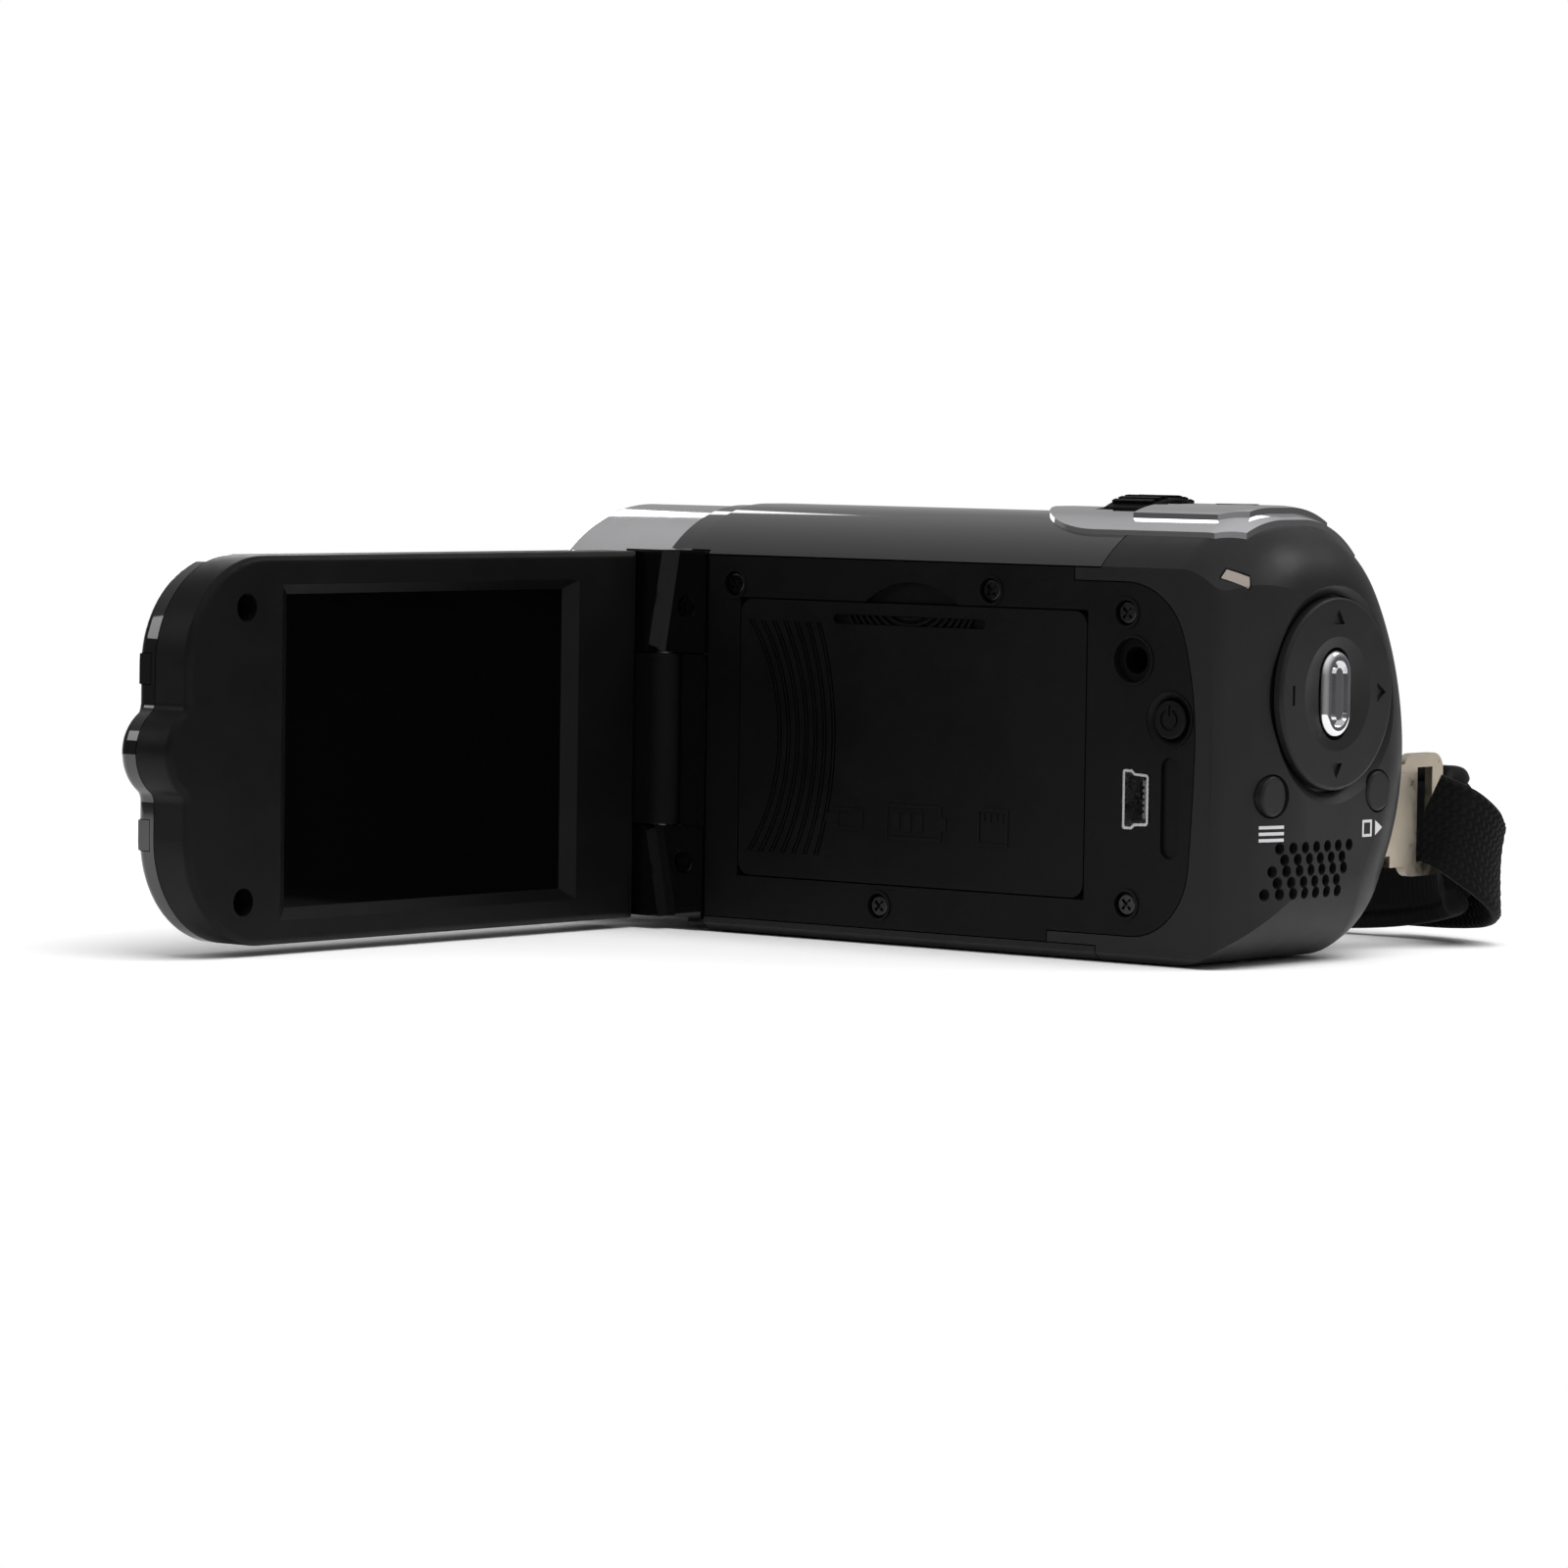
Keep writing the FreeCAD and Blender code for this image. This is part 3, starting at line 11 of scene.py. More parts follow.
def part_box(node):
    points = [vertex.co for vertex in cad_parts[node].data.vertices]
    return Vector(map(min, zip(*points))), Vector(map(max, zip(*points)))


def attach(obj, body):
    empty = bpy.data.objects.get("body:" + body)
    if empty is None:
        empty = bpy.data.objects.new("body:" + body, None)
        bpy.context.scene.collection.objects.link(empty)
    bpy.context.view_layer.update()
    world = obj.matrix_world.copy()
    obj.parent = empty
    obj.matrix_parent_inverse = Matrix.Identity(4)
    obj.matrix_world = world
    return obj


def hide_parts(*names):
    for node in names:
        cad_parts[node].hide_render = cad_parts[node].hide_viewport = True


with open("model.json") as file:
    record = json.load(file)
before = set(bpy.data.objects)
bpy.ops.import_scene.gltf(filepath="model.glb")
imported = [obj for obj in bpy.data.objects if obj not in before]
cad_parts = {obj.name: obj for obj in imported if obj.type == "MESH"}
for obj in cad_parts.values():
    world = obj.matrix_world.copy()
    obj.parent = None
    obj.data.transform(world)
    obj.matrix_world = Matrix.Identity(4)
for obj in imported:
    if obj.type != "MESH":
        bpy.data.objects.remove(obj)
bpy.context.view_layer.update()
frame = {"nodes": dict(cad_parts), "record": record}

MM = 0.001
NODES = frame["nodes"]


# ---------------------------------------------------------------- frame measures
def mm(*values):
    """Millimetres in the row frame as a vector in metres."""
    return Vector([value * MM for value in values])


def middle(node):
    """Centre of a CAD node's box, in metres."""
    low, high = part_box(node)
    return (Vector(low) + Vector(high)) / 2


REAR_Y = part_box("rear_shell")[1][1] / MM


# ---------------------------------------------------------------- material helpers
def new_material(name):
    """New node material with its tree and its Principled shader."""
    material = bpy.data.materials.new(name)
    material.use_nodes = True
    tree = material.node_tree
    return material, tree, tree.nodes["Principled BSDF"]


def add(tree, kind, **values):
    """New node with its properties set."""
    node = tree.nodes.new(kind)
    for key, value in values.items():
        setattr(node, key, value)
    return node


def noise(tree, scale, detail=3.0, rough=0.55, stretch=None):
    """Noise in the row frame's own metres; stretch scales the three axes."""
    coords = add(tree, "ShaderNodeTexCoord")
    mapping = add(tree, "ShaderNodeMapping")
    if stretch:
        mapping.inputs["Scale"].default_value = stretch
    texture = add(tree, "ShaderNodeTexNoise")
    texture.inputs["Scale"].default_value = scale
    texture.inputs["Detail"].default_value = detail
    texture.inputs["Roughness"].default_value = rough
    tree.links.new(coords.outputs["Object"], mapping.inputs["Vector"])
    tree.links.new(mapping.outputs["Vector"], texture.inputs["Vector"])
    return texture


def ramp(tree, source, stops):
    """Colour ramp over a value; stops are (place, colour) pairs."""
    node = add(tree, "ShaderNodeValToRGB")
    elements = node.color_ramp.elements
    for index, (place, colour) in enumerate(stops):
        element = elements[index] if index < 2 else elements.new(place)
        element.position = place
        element.color = (*colour, 1.0)
    tree.links.new(source, node.inputs["Fac"])
    return node


def grey(value, tint=(1.0, 1.0, 1.0)):
    """Grey of the given brightness, coloured by a tint."""
    return tuple(value * part for part in tint)


def spread(tree, shader, texture, low, high, socket="Roughness"):
    """Maps a noise to a narrow range on one of the shader's number sockets."""
    ranger = add(tree, "ShaderNodeMapRange")
    ranger.inputs["From Min"].default_value = 0.3
    ranger.inputs["From Max"].default_value = 0.7
    ranger.inputs["To Min"].default_value = low
    ranger.inputs["To Max"].default_value = high
    tree.links.new(texture.outputs["Fac"], ranger.inputs["Value"])
    tree.links.new(ranger.outputs["Result"], shader.inputs[socket])


def bump(tree, shader, height, strength, distance):
    """Surface relief from a height value; distance is in metres."""
    node = add(tree, "ShaderNodeBump")
    node.inputs["Strength"].default_value = strength
    node.inputs["Distance"].default_value = distance
    tree.links.new(height, node.inputs["Height"])
    tree.links.new(node.outputs["Normal"], shader.inputs["Normal"])


def moulded_plastic(name, dark, light, rough, grain=0.35, shine=0.1, tint=(1.0, 1.0, 1.03)):
    """Moulded plastic: cloudy tone, fine spark-eroded grain, uneven sheen and paler worn edges."""
    material, tree, shader = new_material(name)
    cloud = noise(tree, 45.0, 4.0)
    worn = wear(tree, cloud)
    tone = ramp(tree, worn, [(0.35, grey(dark, tint)), (0.65, grey(light, tint))])
    tree.links.new(tone.outputs["Color"], shader.inputs["Base Color"])
    spread(tree, shader, noise(tree, 160.0, 3.0), rough - 0.05, rough + 0.06)
    if grain:
        fine = noise(tree, 5200.0, 2.0)
        bump(tree, shader, fine.outputs["Fac"], grain, 0.00004)
    shader.inputs["Specular IOR Level"].default_value = shine
    return material


def wear(tree, cloud):
    """Tone mask that grows a little on sharp outer edges, where handling polishes the surface."""
    geometry = add(tree, "ShaderNodeNewGeometry")
    edge = add(tree, "ShaderNodeMapRange")
    edge.inputs["From Min"].default_value = 0.52
    edge.inputs["From Max"].default_value = 0.70
    edge.inputs["To Max"].default_value = 0.35
    tree.links.new(geometry.outputs["Pointiness"], edge.inputs["Value"])
    total = add(tree, "ShaderNodeMath", operation="ADD")
    tree.links.new(cloud.outputs["Fac"], total.inputs[0])
    tree.links.new(edge.outputs["Result"], total.inputs[1])
    return total.outputs["Value"]


def gloss_plastic(name, tone, rough=0.06):
    """Polished black plastic with a clear coat and faint hairline wear."""
    material, tree, shader = new_material(name)
    cloud = noise(tree, 30.0, 2.0)
    colour = ramp(tree, cloud.outputs["Fac"], [(0.3, grey(tone * 0.8)), (0.7, grey(tone * 1.2))])
    tree.links.new(colour.outputs["Color"], shader.inputs["Base Color"])
    spread(tree, shader, noise(tree, 240.0, 5.0, stretch=(1.0, 0.15, 1.0)), rough * 0.7, rough * 1.5)
    shader.inputs["Specular IOR Level"].default_value = 0.5
    shader.inputs["Coat Weight"].default_value = 0.6
    shader.inputs["Coat Roughness"].default_value = 0.03
    waves = noise(tree, 60.0, 1.0)
    bump(tree, shader, waves.outputs["Fac"], 0.04, 0.0002)
    return material


def polished_metal(name, colour, rough, scratch=0.03, pitted=0.0):
    """Plated metal: slight tone drift, hairline scratches and, if worn, small dull pits."""
    material, tree, shader = new_material(name)
    shader.inputs["Metallic"].default_value = 1.0
    cloud = noise(tree, 80.0, 4.0)
    dull = tuple(c * (0.93 - pitted) for c in colour)
    tone = ramp(tree, cloud.outputs["Fac"], [(0.35, dull), (0.65, colour)])
    tree.links.new(tone.outputs["Color"], shader.inputs["Base Color"])
    lines = noise(tree, 700.0, 6.0, 0.7)
    spread(tree, shader, lines, rough, rough + scratch + pitted)
    bump(tree, shader, lines.outputs["Fac"], 0.03 + pitted, 0.00003)
    return material


def clear_plastic(name, colour, rough, weight):
    """See-through plastic; weight is the share of light that passes."""
    material, tree, shader = new_material(name)
    cloud = noise(tree, 200.0, 3.0)
    tone = ramp(tree, cloud.outputs["Fac"], [(0.3, tuple(c * 0.85 for c in colour)), (0.7, colour)])
    tree.links.new(tone.outputs["Color"], shader.inputs["Base Color"])
    spread(tree, shader, cloud, rough, rough + 0.08)
    shader.inputs["Transmission Weight"].default_value = weight
    shader.inputs["IOR"].default_value = 1.49
    return material


def coated_glass(name, tint, rough=0.01, coat=1.0, shine=0.5):
    """Dark coated glass: near black, with slightly cloudy tone and polish."""
    material, tree, shader = new_material(name)
    haze = noise(tree, 35.0, 3.0)
    tone = ramp(tree, haze.outputs["Fac"], [(0.3, tuple(c * 0.8 for c in tint)), (0.7, tint)])
    tree.links.new(tone.outputs["Color"], shader.inputs["Base Color"])
    spread(tree, shader, noise(tree, 50.0, 3.0), rough, rough + 0.03)
    shader.inputs["Specular IOR Level"].default_value = shine
    shader.inputs["Coat Weight"].default_value = coat
    shader.inputs["Coat Roughness"].default_value = 0.01
    return material


def circuit(name):
    """Green solder mask with a darker pattern of traces."""
    material, tree, shader = new_material(name)
    coords = add(tree, "ShaderNodeTexCoord")
    brick = add(tree, "ShaderNodeTexBrick")
    brick.inputs["Scale"].default_value = 260.0
    brick.inputs["Color1"].default_value = (0.010, 0.075, 0.035, 1)
    brick.inputs["Color2"].default_value = (0.014, 0.10, 0.045, 1)
    brick.inputs["Mortar"].default_value = (0.03, 0.17, 0.08, 1)
    tree.links.new(coords.outputs["Object"], brick.inputs["Vector"])
    tree.links.new(brick.outputs["Color"], shader.inputs["Base Color"])
    spread(tree, shader, noise(tree, 300.0), 0.3, 0.45)
    return material


def fabric(name, dark, light, scale, sheen):
    """Black cloth: two-tone yarn, rough, with a soft sheen."""
    material, tree, shader = new_material(name)
    yarn = noise(tree, scale, 4.0, 0.7)
    tone = ramp(tree, yarn.outputs["Fac"], [(0.35, grey(dark)), (0.7, grey(light))])
    tree.links.new(tone.outputs["Color"], shader.inputs["Base Color"])
    spread(tree, shader, yarn, 0.62, 0.85)
    shader.inputs["Specular IOR Level"].default_value = 0.1
    shader.inputs["Sheen Weight"].default_value = sheen
    shader.inputs["Sheen Roughness"].default_value = 0.45
    bump(tree, shader, yarn.outputs["Fac"], 0.5, 0.00006)
    return material


# ---------------------------------------------------------------- finish of each material slot
FINISH = {
    "satin_black": moulded_plastic("satin_black", 0.0026, 0.0042, 0.42, shine=0.12),
    "satin_charcoal": moulded_plastic("satin_charcoal", 0.0075, 0.0105, 0.40, grain=0.2, shine=0.22),
    "matte_black": moulded_plastic("matte_black", 0.0012, 0.0024, 0.55, grain=0.5, shine=0.08),
    "gloss_black": gloss_plastic("gloss_black", 0.0015),
    "bright_chrome": polished_metal("bright_chrome", (0.80, 0.80, 0.82), 0.06),
    "clear_grey": clear_plastic("clear_grey", (0.30, 0.26, 0.22), 0.3, 0.2),
    "coated_glass": coated_glass("coated_glass", (0.004, 0.005, 0.012)),
    "sensor_glass": coated_glass("sensor_glass", (0.02, 0.03, 0.05)),
    "circuit_board": circuit("circuit_board"),
    "clear_lamp": clear_plastic("clear_lamp", (0.92, 0.92, 0.88), 0.05, 0.6),
    "lamp_chip": moulded_plastic("lamp_chip", 0.55, 0.70, 0.4, tint=(1.0, 0.92, 0.45)),
    "bare_metal": polished_metal("bare_metal", (0.62, 0.62, 0.63), 0.22, 0.12),
    "battery_wrap": moulded_plastic("battery_wrap", 0.05, 0.07, 0.45),
    "gold_contact": polished_metal("gold_contact", (0.85, 0.62, 0.25), 0.2),
    "card_plastic": moulded_plastic("card_plastic", 0.03, 0.05, 0.42, tint=(0.6, 0.8, 1.6)),
    "brass_nut": polished_metal("brass_nut", (0.72, 0.58, 0.32), 0.25, 0.1),
    "white_insulator": moulded_plastic("white_insulator", 0.10, 0.14, 0.4),
    "dark_screw": polished_metal("dark_screw", (0.045, 0.045, 0.047), 0.20, 0.12),
    "nickel": polished_metal("nickel", (0.66, 0.58, 0.47), 0.24, 0.16, pitted=0.10),
    "knit_pad": fabric("knit_pad", 0.0012, 0.0045, 3800.0, 0.06),
    "nylon_webbing": fabric("nylon_webbing", 0.0016, 0.006, 5200.0, 0.05),
    "screen_glass": coated_glass("screen_glass", (0.0013, 0.0013, 0.0014), 0.05, coat=0.0, shine=0.05),
    "display_panel": coated_glass("display_panel", (0.001, 0.001, 0.0015), 0.1, coat=0.0, shine=0.1),
    "ring_plastic": moulded_plastic("ring_plastic", 0.04, 0.06, 0.5),
    "white_print": moulded_plastic("white_print", 0.50, 0.58, 0.5, grain=0.0),
}

SHARP_ANGLE = math.radians(28)
PLAIN_EDGE = 0.12
EDGE_WIDTH = {
    "strap_lug_rear": 0.35,
    "strap_lug_front": 0.35,
    "top_plate": 0.22,
    "lens_ring": 0.2,
    "nav_pad": 0.3,
    "record_button": 0.3,
}


def paint(obj, slot_name):
    """Puts one finish on the whole object."""
    obj.data.materials.clear()
    obj.data.materials.append(FINISH[slot_name])


def dress_cad_nodes():
    """Each CAD node gets its slot's material and a small edge radius."""
    for part in frame["record"]["subparts"]:
        obj = NODES[part["node"]]
        paint(obj, part["material_slot"])
        edge = obj.modifiers.new("edge", "BEVEL")
        edge.width = EDGE_WIDTH.get(part["node"], PLAIN_EDGE) * MM
        edge.segments = 2
        edge.limit_method = "ANGLE"
        edge.angle_limit = SHARP_ANGLE


# ---------------------------------------------------------------- mesh helpers
def mesh_piece(name, verts, faces, slot_name, body, smooth=True):
    """New visible piece from points and faces, with its finish, riding on a body."""
    mesh = bpy.data.meshes.new(name)
    mesh.from_pydata([tuple(v) for v in verts], [], faces)
    mesh.update()
    bm = bmesh.new()
    bm.from_mesh(mesh)
    bmesh.ops.recalc_face_normals(bm, faces=bm.faces)
    bm.to_mesh(mesh)
    bm.free()
    obj = bpy.data.objects.new(name, mesh)
    bpy.context.collection.objects.link(obj)
    for polygon in mesh.polygons:
        polygon.use_smooth = smooth
    mesh.materials.append(FINISH[slot_name])
    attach(obj, body)
    return obj


def prism_faces(start, size):
    """Faces of a prism whose two rings of corners follow each other from the index start."""
    faces = [tuple(start + i for i in range(size)), tuple(start + size + i for i in reversed(range(size)))]
    for i in range(size):
        j = (i + 1) % size
        faces.append((start + i, start + j, start + size + j, start + size + i))
    return faces


def bar(u, v, width, height):
    """Corners of a rectangle about the point (u, v)."""
    return [(u - width / 2, v - height / 2), (u + width / 2, v - height / 2),
            (u + width / 2, v + height / 2), (u - width / 2, v + height / 2)]


def sideways(heading):
    """Level direction square to a heading, away from the casing."""
    return Vector((heading.y, -heading.x, 0)).normalized()


CURVE_STEPS = 600


def catmull(points, t):
    """Point on a smooth curve through the points; t runs from 0 to the last index."""
    last = len(points) - 1
    index = min(int(t), last - 1)
    local = t - index
    p0 = points[max(index - 1, 0)]
    p1 = points[index]
    p2 = points[index + 1]
    p3 = points[min(index + 2, last)]
    return 0.5 * ((2 * p1) + (p2 - p0) * local + (2 * p0 - 5 * p1 + 4 * p2 - p3) * local ** 2
                  + (3 * p1 - p0 - 3 * p2 + p3) * local ** 3)


def along(points, count):
    """Evenly spaced (place, heading) pairs along the smooth curve."""
    dense = [catmull(points, (len(points) - 1) * i / CURVE_STEPS) for i in range(CURVE_STEPS + 1)]
    lengths = [0.0]
    for a, b in zip(dense, dense[1:]):
        lengths.append(lengths[-1] + (b - a).length)
    result = []
    cursor = 0
    for i in range(count):
        want = lengths[-1] * i / (count - 1)
        while cursor < CURVE_STEPS - 1 and lengths[cursor + 1] < want:
            cursor += 1
        step = lengths[cursor + 1] - lengths[cursor]
        part = (want - lengths[cursor]) / step if step else 0.0
        place = dense[cursor].lerp(dense[cursor + 1], part)
        heading = (dense[cursor + 1] - dense[cursor]).normalized()
        result.append((place, heading))
    return result, lengths[-1]


def swept(name, stations, rows, slot_name, body, section):
    """Closed tube: section(s, k) gives (outward, upward) offsets at station s and row k."""
    verts = []
    faces = []
    total = len(stations)
    for s, (place, heading) in enumerate(stations):
        out = sideways(heading)
        up = out.cross(heading).normalized()
        if up.z < 0:
            up = -up
        for k in range(rows):
            side, rise = section(s, k)
            verts.append(place + out * side + up * rise)
    for s in range(total - 1):
        for k in range(rows):
            a = s * rows + k
            b = s * rows + (k + 1) % rows
            faces.append((a, b, b + rows, a + rows))
    faces.append(tuple(range(rows)))
    faces.append(tuple((total - 1) * rows + k for k in range(rows)))
    return mesh_piece(name, verts, faces, slot_name, body)


# ---------------------------------------------------------------- hand strap
PAD_ROUTE = [mm(-39.5, -21.0, 12.5), mm(-45.0, -5.0, 12.4), mm(-48.2, 12.0, 12.3), mm(-49.2, 29.0, 12.5),
             mm(-48.7, 39.0, 13.0), mm(-46.8, 46.0, 13.9), mm(-42.6, 48.4, 14.6)]
WEB_FRONT = [mm(-31.6, -30.6, 18.0), mm(-33.2, -33.8, 18.0), mm(-36.0, -32.6, 17.4), mm(-38.0, -27.5, 16.0),
             mm(-39.6, -21.5, 14.2), mm(-42.6, -14.0, 13.0)]
WEB_REAR = [mm(-35.6, 48.4, 18.0), mm(-38.0, 52.2, 16.0), mm(-42.4, 54.0, 12.6), mm(-46.8, 52.9, 9.6),
            mm(-50.6, 48.4, 7.8), mm(-53.0, 41.6, 7.1), mm(-53.6, 34.0, 7.0)]
PAD_HALF_THICK = 2.5 * MM
PAD_HALF_HEIGHT = 12.1 * MM
PAD_CHANNELS = (-0.80, 0.80)
PAD_RIB_PITCH = 0.9 * MM
PAD_RIB_HEIGHT = 0.05 * MM
PAD_WAVE_HEIGHT = 0.28 * MM
WEB_HALF_THICK = 0.8 * MM
WEB_HALF_WIDTH = 6.0 * MM
WEB_COLUMNS = 9
WEB_ROWS = 73
CHEVRON_PITCH = 1.05
CHEVRON_SLANT = 0.45


def super_point(angle, half_u, half_v, power):
    """Point on a rounded rectangle-like loop."""
    c, s = math.cos(angle), math.sin(angle)
    return (half_u * math.copysign(abs(c) ** power, c), half_v * math.copysign(abs(s) ** power, s))


def strap_pad():
    """Padded knit sleeve: swollen middle, tucked ends, two sewn channels and a fine rib."""
    count, rows = 320, 96
    stations, length = along(PAD_ROUTE, count)

    def section(s, k):
        t = s / (count - 1)
        end = min(t, 1 - t) * 2
        close = max(0.0, 1 - end * 7) ** 2
        taper = 0.80 + 0.20 * math.sin(math.pi * min(1.0, end * 1.3) / 2)
        u, v = super_point(2 * math.pi * k / rows, PAD_HALF_THICK, PAD_HALF_HEIGHT, 0.62)
        swell = 1 - 0.55 * close
        rise = v * taper * (1 - 0.25 * close)
        groove = 0.0
        for line in PAD_CHANNELS:
            groove += math.exp(-((v / PAD_HALF_HEIGHT - line) / 0.035) ** 2)
        rib = PAD_RIB_HEIGHT * math.sin(math.pi * (t * length / PAD_RIB_PITCH + k % 2))
        waves = PAD_WAVE_HEIGHT * math.sin(t * 21.0) * math.cos(v / PAD_HALF_HEIGHT * 2.1)
        side = u * swell * (1 - 0.30 * groove)
        return side + math.copysign(rib, u) + waves, rise

    pad = swept("strap_pad_cover", stations, rows, "knit_pad", "body", section)
    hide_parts("strap_pad")


def webbing(name, route, count):
    """Woven nylon strap: nine columns of small raised chevrons and a rounded selvedge."""
    stations, length = along(route, count)

    def section(s, k):
        face = 1 if k < WEB_ROWS else -1
        v = face * (-1 + 2 * (k % WEB_ROWS) / (WEB_ROWS - 1))
        travel = length * s / (count - 1) / MM
        spot = (v + 1) / 2 * WEB_COLUMNS
        local = abs(2 * (spot - math.floor(spot)) - 1)
        side = 0.5 if int(spot) % 2 else 0.0
        yarn = math.sin(2 * math.pi * (travel / CHEVRON_PITCH + local * CHEVRON_SLANT + side))
        edge = min(1.0, (1 - abs(v)) * 12)
        thick = WEB_HALF_THICK * (0.45 + 0.35 * edge) + MM * edge * (0.10 * yarn + 0.12 * (1 - local ** 3))
        return face * thick, v * WEB_HALF_WIDTH

    return swept(name, stations, WEB_ROWS * 2, "nylon_webbing", "body", section)


STITCH_STATIONS = 60
STITCHED = range(47, 57, 2)
STITCH_ROWS = (-4.2, -1.4, 1.4, 4.2)
STITCH_FOOT = (1.1, 0.28)
STITCH_CREST = (0.7, 0.16)
STITCH_RISE = 0.16
CLOTH_FACE = 0.85


def strap_stitches():
    """Rows of raised thread stitches on both faces of the rear webbing, near its sewn end."""
    stations, _ = along(WEB_REAR, STITCH_STATIONS)
    up = Vector((0, 0, 1))
    verts = []
    faces = []
    for index in STITCHED:
        place, heading = stations[index]
        out = sideways(heading)
        for rise in STITCH_ROWS:
            for face in (-1, 1):
                faces += prism_faces(len(verts), 4)
                for size, proud in ((STITCH_FOOT, 0.0), (STITCH_CREST, STITCH_RISE)):
                    centre = place + up * (rise * MM) + out * (face * (CLOTH_FACE + proud) * MM)
                    verts += [centre + heading * (a * MM) + up * (b * MM) for a, b in bar(0.0, 0.0, *size)]
    mesh_piece("strap_stitches", verts, faces, "knit_pad", "body")


def strap():
    """Padded sleeve, the two visible runs of webbing, and their stitches."""
    strap_pad()
    front = webbing("strap_webbing_front", WEB_FRONT, 260)
    rear = webbing("strap_webbing_rear", WEB_REAR, 360)
    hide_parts("strap_webbing")
    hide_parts("strap_webbing")
    strap_stitches()


# ---------------------------------------------------------------- generic marks
SUNK = 0.02


def flat_mark(name, loops, place, body, slot_name, thick):
    """Thin raised mark made of polygons; place(u, v, w) gives the 3-D point in millimetres."""
    verts = []
    faces = []
    for loop in loops:
        start = len(verts)
        for level in (0.0, thick):
            for u, v in loop:
                verts.append(mm(*place(u, v, level)))
        faces += prism_faces(start, len(loop))
    mesh_piece(name, verts, faces, slot_name, body, smooth=False)


def frame_loops(u, v, width, height, line):
    """Rectangle outline from two long bars and two short ones that fit between them."""
    reach = (width - line) / 2
    return [bar(u, v + height / 2, width, line), bar(u, v - height / 2, width, line),
            bar(u - reach, v, line, height - line), bar(u + reach, v, line, height - line)]


def rear_marks():
    """Three bars below the menu button; a play triangle and a frame below the mode button."""
    mesh = NODES["rear_shell"].data
    places = [vertex.co for vertex in mesh.vertices]
    skin = BVHTree.FromPolygons(places, [face.vertices for face in mesh.polygons])

    def on_rear(u, v, w):
        hit = skin.ray_cast(mm(u, REAR_Y + 20.0, v), Vector((0, -1, 0)))[0]
        return (u, hit.y / MM + w - SUNK, v)

    menu = middle("menu_button") / MM
    mode = middle("mode_button") / MM
    drop = 4.9
    cell = 0.45
    stack = [bar(menu.x + cell * column, menu.z - drop + step, cell, 0.42)
             for step in (-0.85, 0.0, 0.85) for column in range(-4, 5)]
    flat_mark("menu_mark", stack, on_rear, "body", "white_print", 0.05)
    symbol = frame_loops(mode.x + 2.4, mode.z - drop, 2.2, 1.9, 0.36)
    symbol.append([(mode.x + 0.5, mode.z - drop - 1.0), (mode.x + 0.5, mode.z - drop + 1.0),
                   (mode.x - 1.2, mode.z - drop)])
    flat_mark("mode_mark", symbol, on_rear, "body", "white_print", 0.05)


def door_marks():
    """Raised pictograms on the battery door: a cell, a card and a plug."""
    low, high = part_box("battery_door")
    top = high[0] / MM

    def on_door(u, v, w):
        return (top + w - SUNK, u, v)

    row = 16.6
    line = 0.4
    loops = frame_loops(2.0, row, 9.6, 4.4, line)
    loops.append(bar(7.2, row, 0.8, 1.8))
    loops += [bar(-1.0 + step * 2.0, row, 1.2, 2.4) for step in range(3)]
    loops += frame_loops(15.5, row, 5.2, 4.6, line)
    loops += [bar(13.9 + step * 1.05, row + 1.3, 0.45, 1.1) for step in range(4)]
    loops += frame_loops(-9.0, row, 4.6, 2.6, line)
    loops.append(bar(-12.2, row, 1.9, 1.3))
    flat_mark("door_marks", loops, on_door, "door", "satin_black", 0.14)


# ---------------------------------------------------------------- stage
FLOOR_RADIUS = 0.42
FLOOR_DROP = -0.0003
FLOOR_SIDES = 96
TOWARDS_CEILING = (0.1, 0.35, 0.93)
TOWARDS_BACKDROP = (-0.777, -0.629, 0.05)


def floor_material():
    """Matt white paper with a hardly visible cloudiness."""
    material, tree, shader = new_material("floor_paper")
    cloud = noise(tree, 3.0, 2.0)
    tone = ramp(tree, cloud.outputs["Fac"], [(0.3, (0.85, 0.85, 0.85)), (0.7, (0.87, 0.87, 0.87))])
    tree.links.new(tone.outputs["Color"], shader.inputs["Base Color"])
    shader.inputs["Roughness"].default_value = 0.9
    shader.inputs["Specular IOR Level"].default_value = 0.1
    return material


def glow(tree, coords, direction, stops):
    """Brightness of the room around one direction; stops are (cosine, brightness) pairs."""
    dot = add(tree, "ShaderNodeVectorMath", operation="DOT_PRODUCT")
    dot.inputs[1].default_value = Vector(direction).normalized()
    tree.links.new(coords.outputs["Generated"], dot.inputs[0])
    return ramp(tree, dot.outputs["Value"], [(place, grey(value)) for place, value in stops])


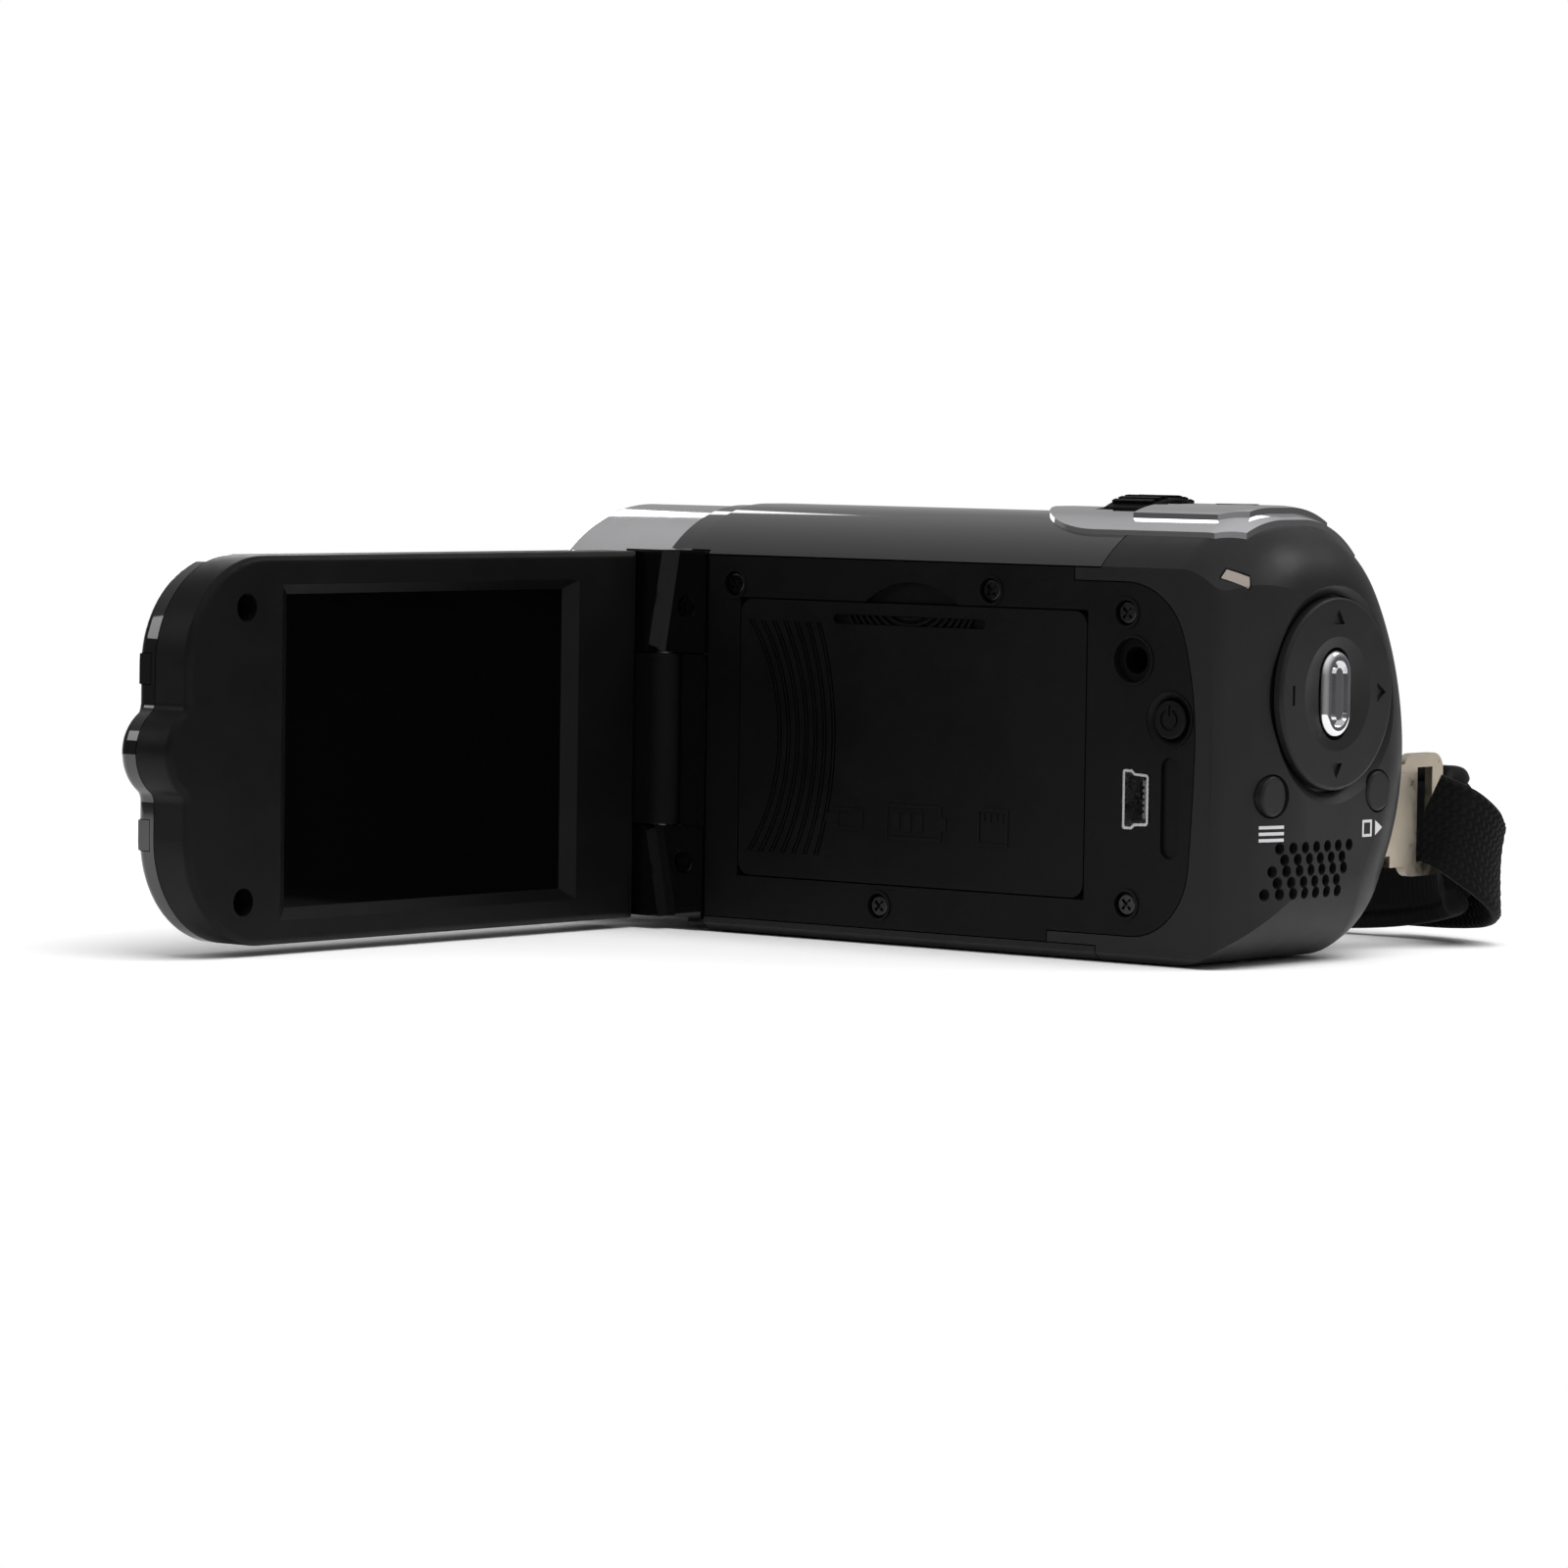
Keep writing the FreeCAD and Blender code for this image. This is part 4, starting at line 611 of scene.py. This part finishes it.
def studio_world():
    """White where the camera looks past the object; elsewhere a dim room, brighter overhead and behind."""
    world = bpy.data.worlds.new("studio")
    world.use_nodes = True
    tree = world.node_tree
    coords = add(tree, "ShaderNodeTexCoord")
    overhead = glow(tree, coords, TOWARDS_CEILING, [(0.1, 0.10), (0.5, 0.40), (0.75, 0.58), (1.0, 0.85)])
    screen = glow(tree, coords, TOWARDS_BACKDROP, [(0.45, 0.0), (0.9, 0.24)])
    both = add(tree, "ShaderNodeVectorMath", operation="ADD")
    tree.links.new(overhead.outputs["Color"], both.inputs[0])
    tree.links.new(screen.outputs["Color"], both.inputs[1])
    room = tree.nodes["Background"]
    room.inputs["Strength"].default_value = 1.0
    tree.links.new(both.outputs["Vector"], room.inputs["Color"])
    backdrop = add(tree, "ShaderNodeBackground")
    backdrop.inputs["Color"].default_value = (1.0, 1.0, 1.0, 1)
    backdrop.inputs["Strength"].default_value = 1.0
    path = add(tree, "ShaderNodeLightPath")
    mix = add(tree, "ShaderNodeMixShader")
    tree.links.new(path.outputs["Is Camera Ray"], mix.inputs["Fac"])
    tree.links.new(room.outputs["Background"], mix.inputs[1])
    tree.links.new(backdrop.outputs["Background"], mix.inputs[2])
    tree.links.new(mix.outputs["Shader"], tree.nodes["World Output"].inputs["Surface"])
    bpy.context.scene.world = world
    bpy.context.scene.view_settings.view_transform = "Standard"


def stage():
    """Round pale table top just under the base."""
    mesh = bpy.data.meshes.new("floor")
    turns = [2 * math.pi * i / FLOOR_SIDES for i in range(FLOOR_SIDES)]
    rim = [(FLOOR_RADIUS * math.cos(a), FLOOR_RADIUS * math.sin(a), FLOOR_DROP) for a in turns]
    mesh.from_pydata(rim, [], [tuple(range(FLOOR_SIDES))])
    floor = bpy.data.objects.new("floor", mesh)
    bpy.context.collection.objects.link(floor)
    mesh.materials.append(floor_material())
    studio_world()


def hang_light(name, kind, place, aim):
    """New light that points from its place to the aim."""
    light = bpy.data.lights.new(name, kind)
    obj = bpy.data.objects.new(name, light)
    bpy.context.collection.objects.link(obj)
    obj.location = place
    obj.rotation_euler = (Vector(aim) - Vector(place)).to_track_quat("-Z", "Y").to_euler()
    return obj


def softbox(name, place, size, watts):
    """Rectangular light that points at the camcorder."""
    light = hang_light(name, "AREA", place, (0.02, 0.0, 0.03)).data
    light.shape = "RECTANGLE"
    light.size, light.size_y = size
    light.energy = watts


def lights():
    """Soft key from above, left out of mirror reflections, and softboxes at rear, side and front."""
    key = hang_light("key_light", "SUN", (0.1, 0.35, 1.0), (0.0, 0.0, 0.0))
    key.visible_glossy = False
    key.data.energy = 2.4
    key.data.angle = math.radians(50)
    softbox("rear_light", (-0.65, 0.55, 0.75), (0.4, 0.4), 2.0)
    softbox("side_light", (0.75, -0.75, 0.55), (0.3, 0.4), 1.0)
    softbox("front_light", (-0.5, -0.9, 0.35), (0.5, 0.5), 2.0)


CAMERA_PLACE = mm(737.0, 567.6, 73.2)
CAMERA_AZIMUTH = math.radians(129.29)
CAMERA_RISE = math.radians(3.23)
CAMERA_ROLL = math.radians(0.81)
LENS_MM = 155.9


def camera():
    """Long lens behind and to the left of the camcorder, a little above its middle."""
    data = bpy.data.cameras.new("camera")
    data.lens = LENS_MM
    data.sensor_width = 36.0
    data.clip_start = 0.01
    obj = bpy.data.objects.new("camera", data)
    bpy.context.collection.objects.link(obj)
    back = Vector((math.sin(CAMERA_AZIMUTH) * math.cos(CAMERA_RISE),
                   -math.cos(CAMERA_AZIMUTH) * math.cos(CAMERA_RISE), math.sin(CAMERA_RISE)))
    right = Vector((0, 0, 1)).cross(back).normalized()
    up = back.cross(right)
    right, up = (right * math.cos(CAMERA_ROLL) + up * math.sin(CAMERA_ROLL),
                 up * math.cos(CAMERA_ROLL) - right * math.sin(CAMERA_ROLL))
    turn = Matrix((right, up, back)).transposed()
    obj.matrix_world = Matrix.Translation(CAMERA_PLACE) @ turn.to_4x4()
    bpy.context.scene.camera = obj


camera()
stage()
lights()
dress_cad_nodes()
strap()
rear_marks()
door_marks()
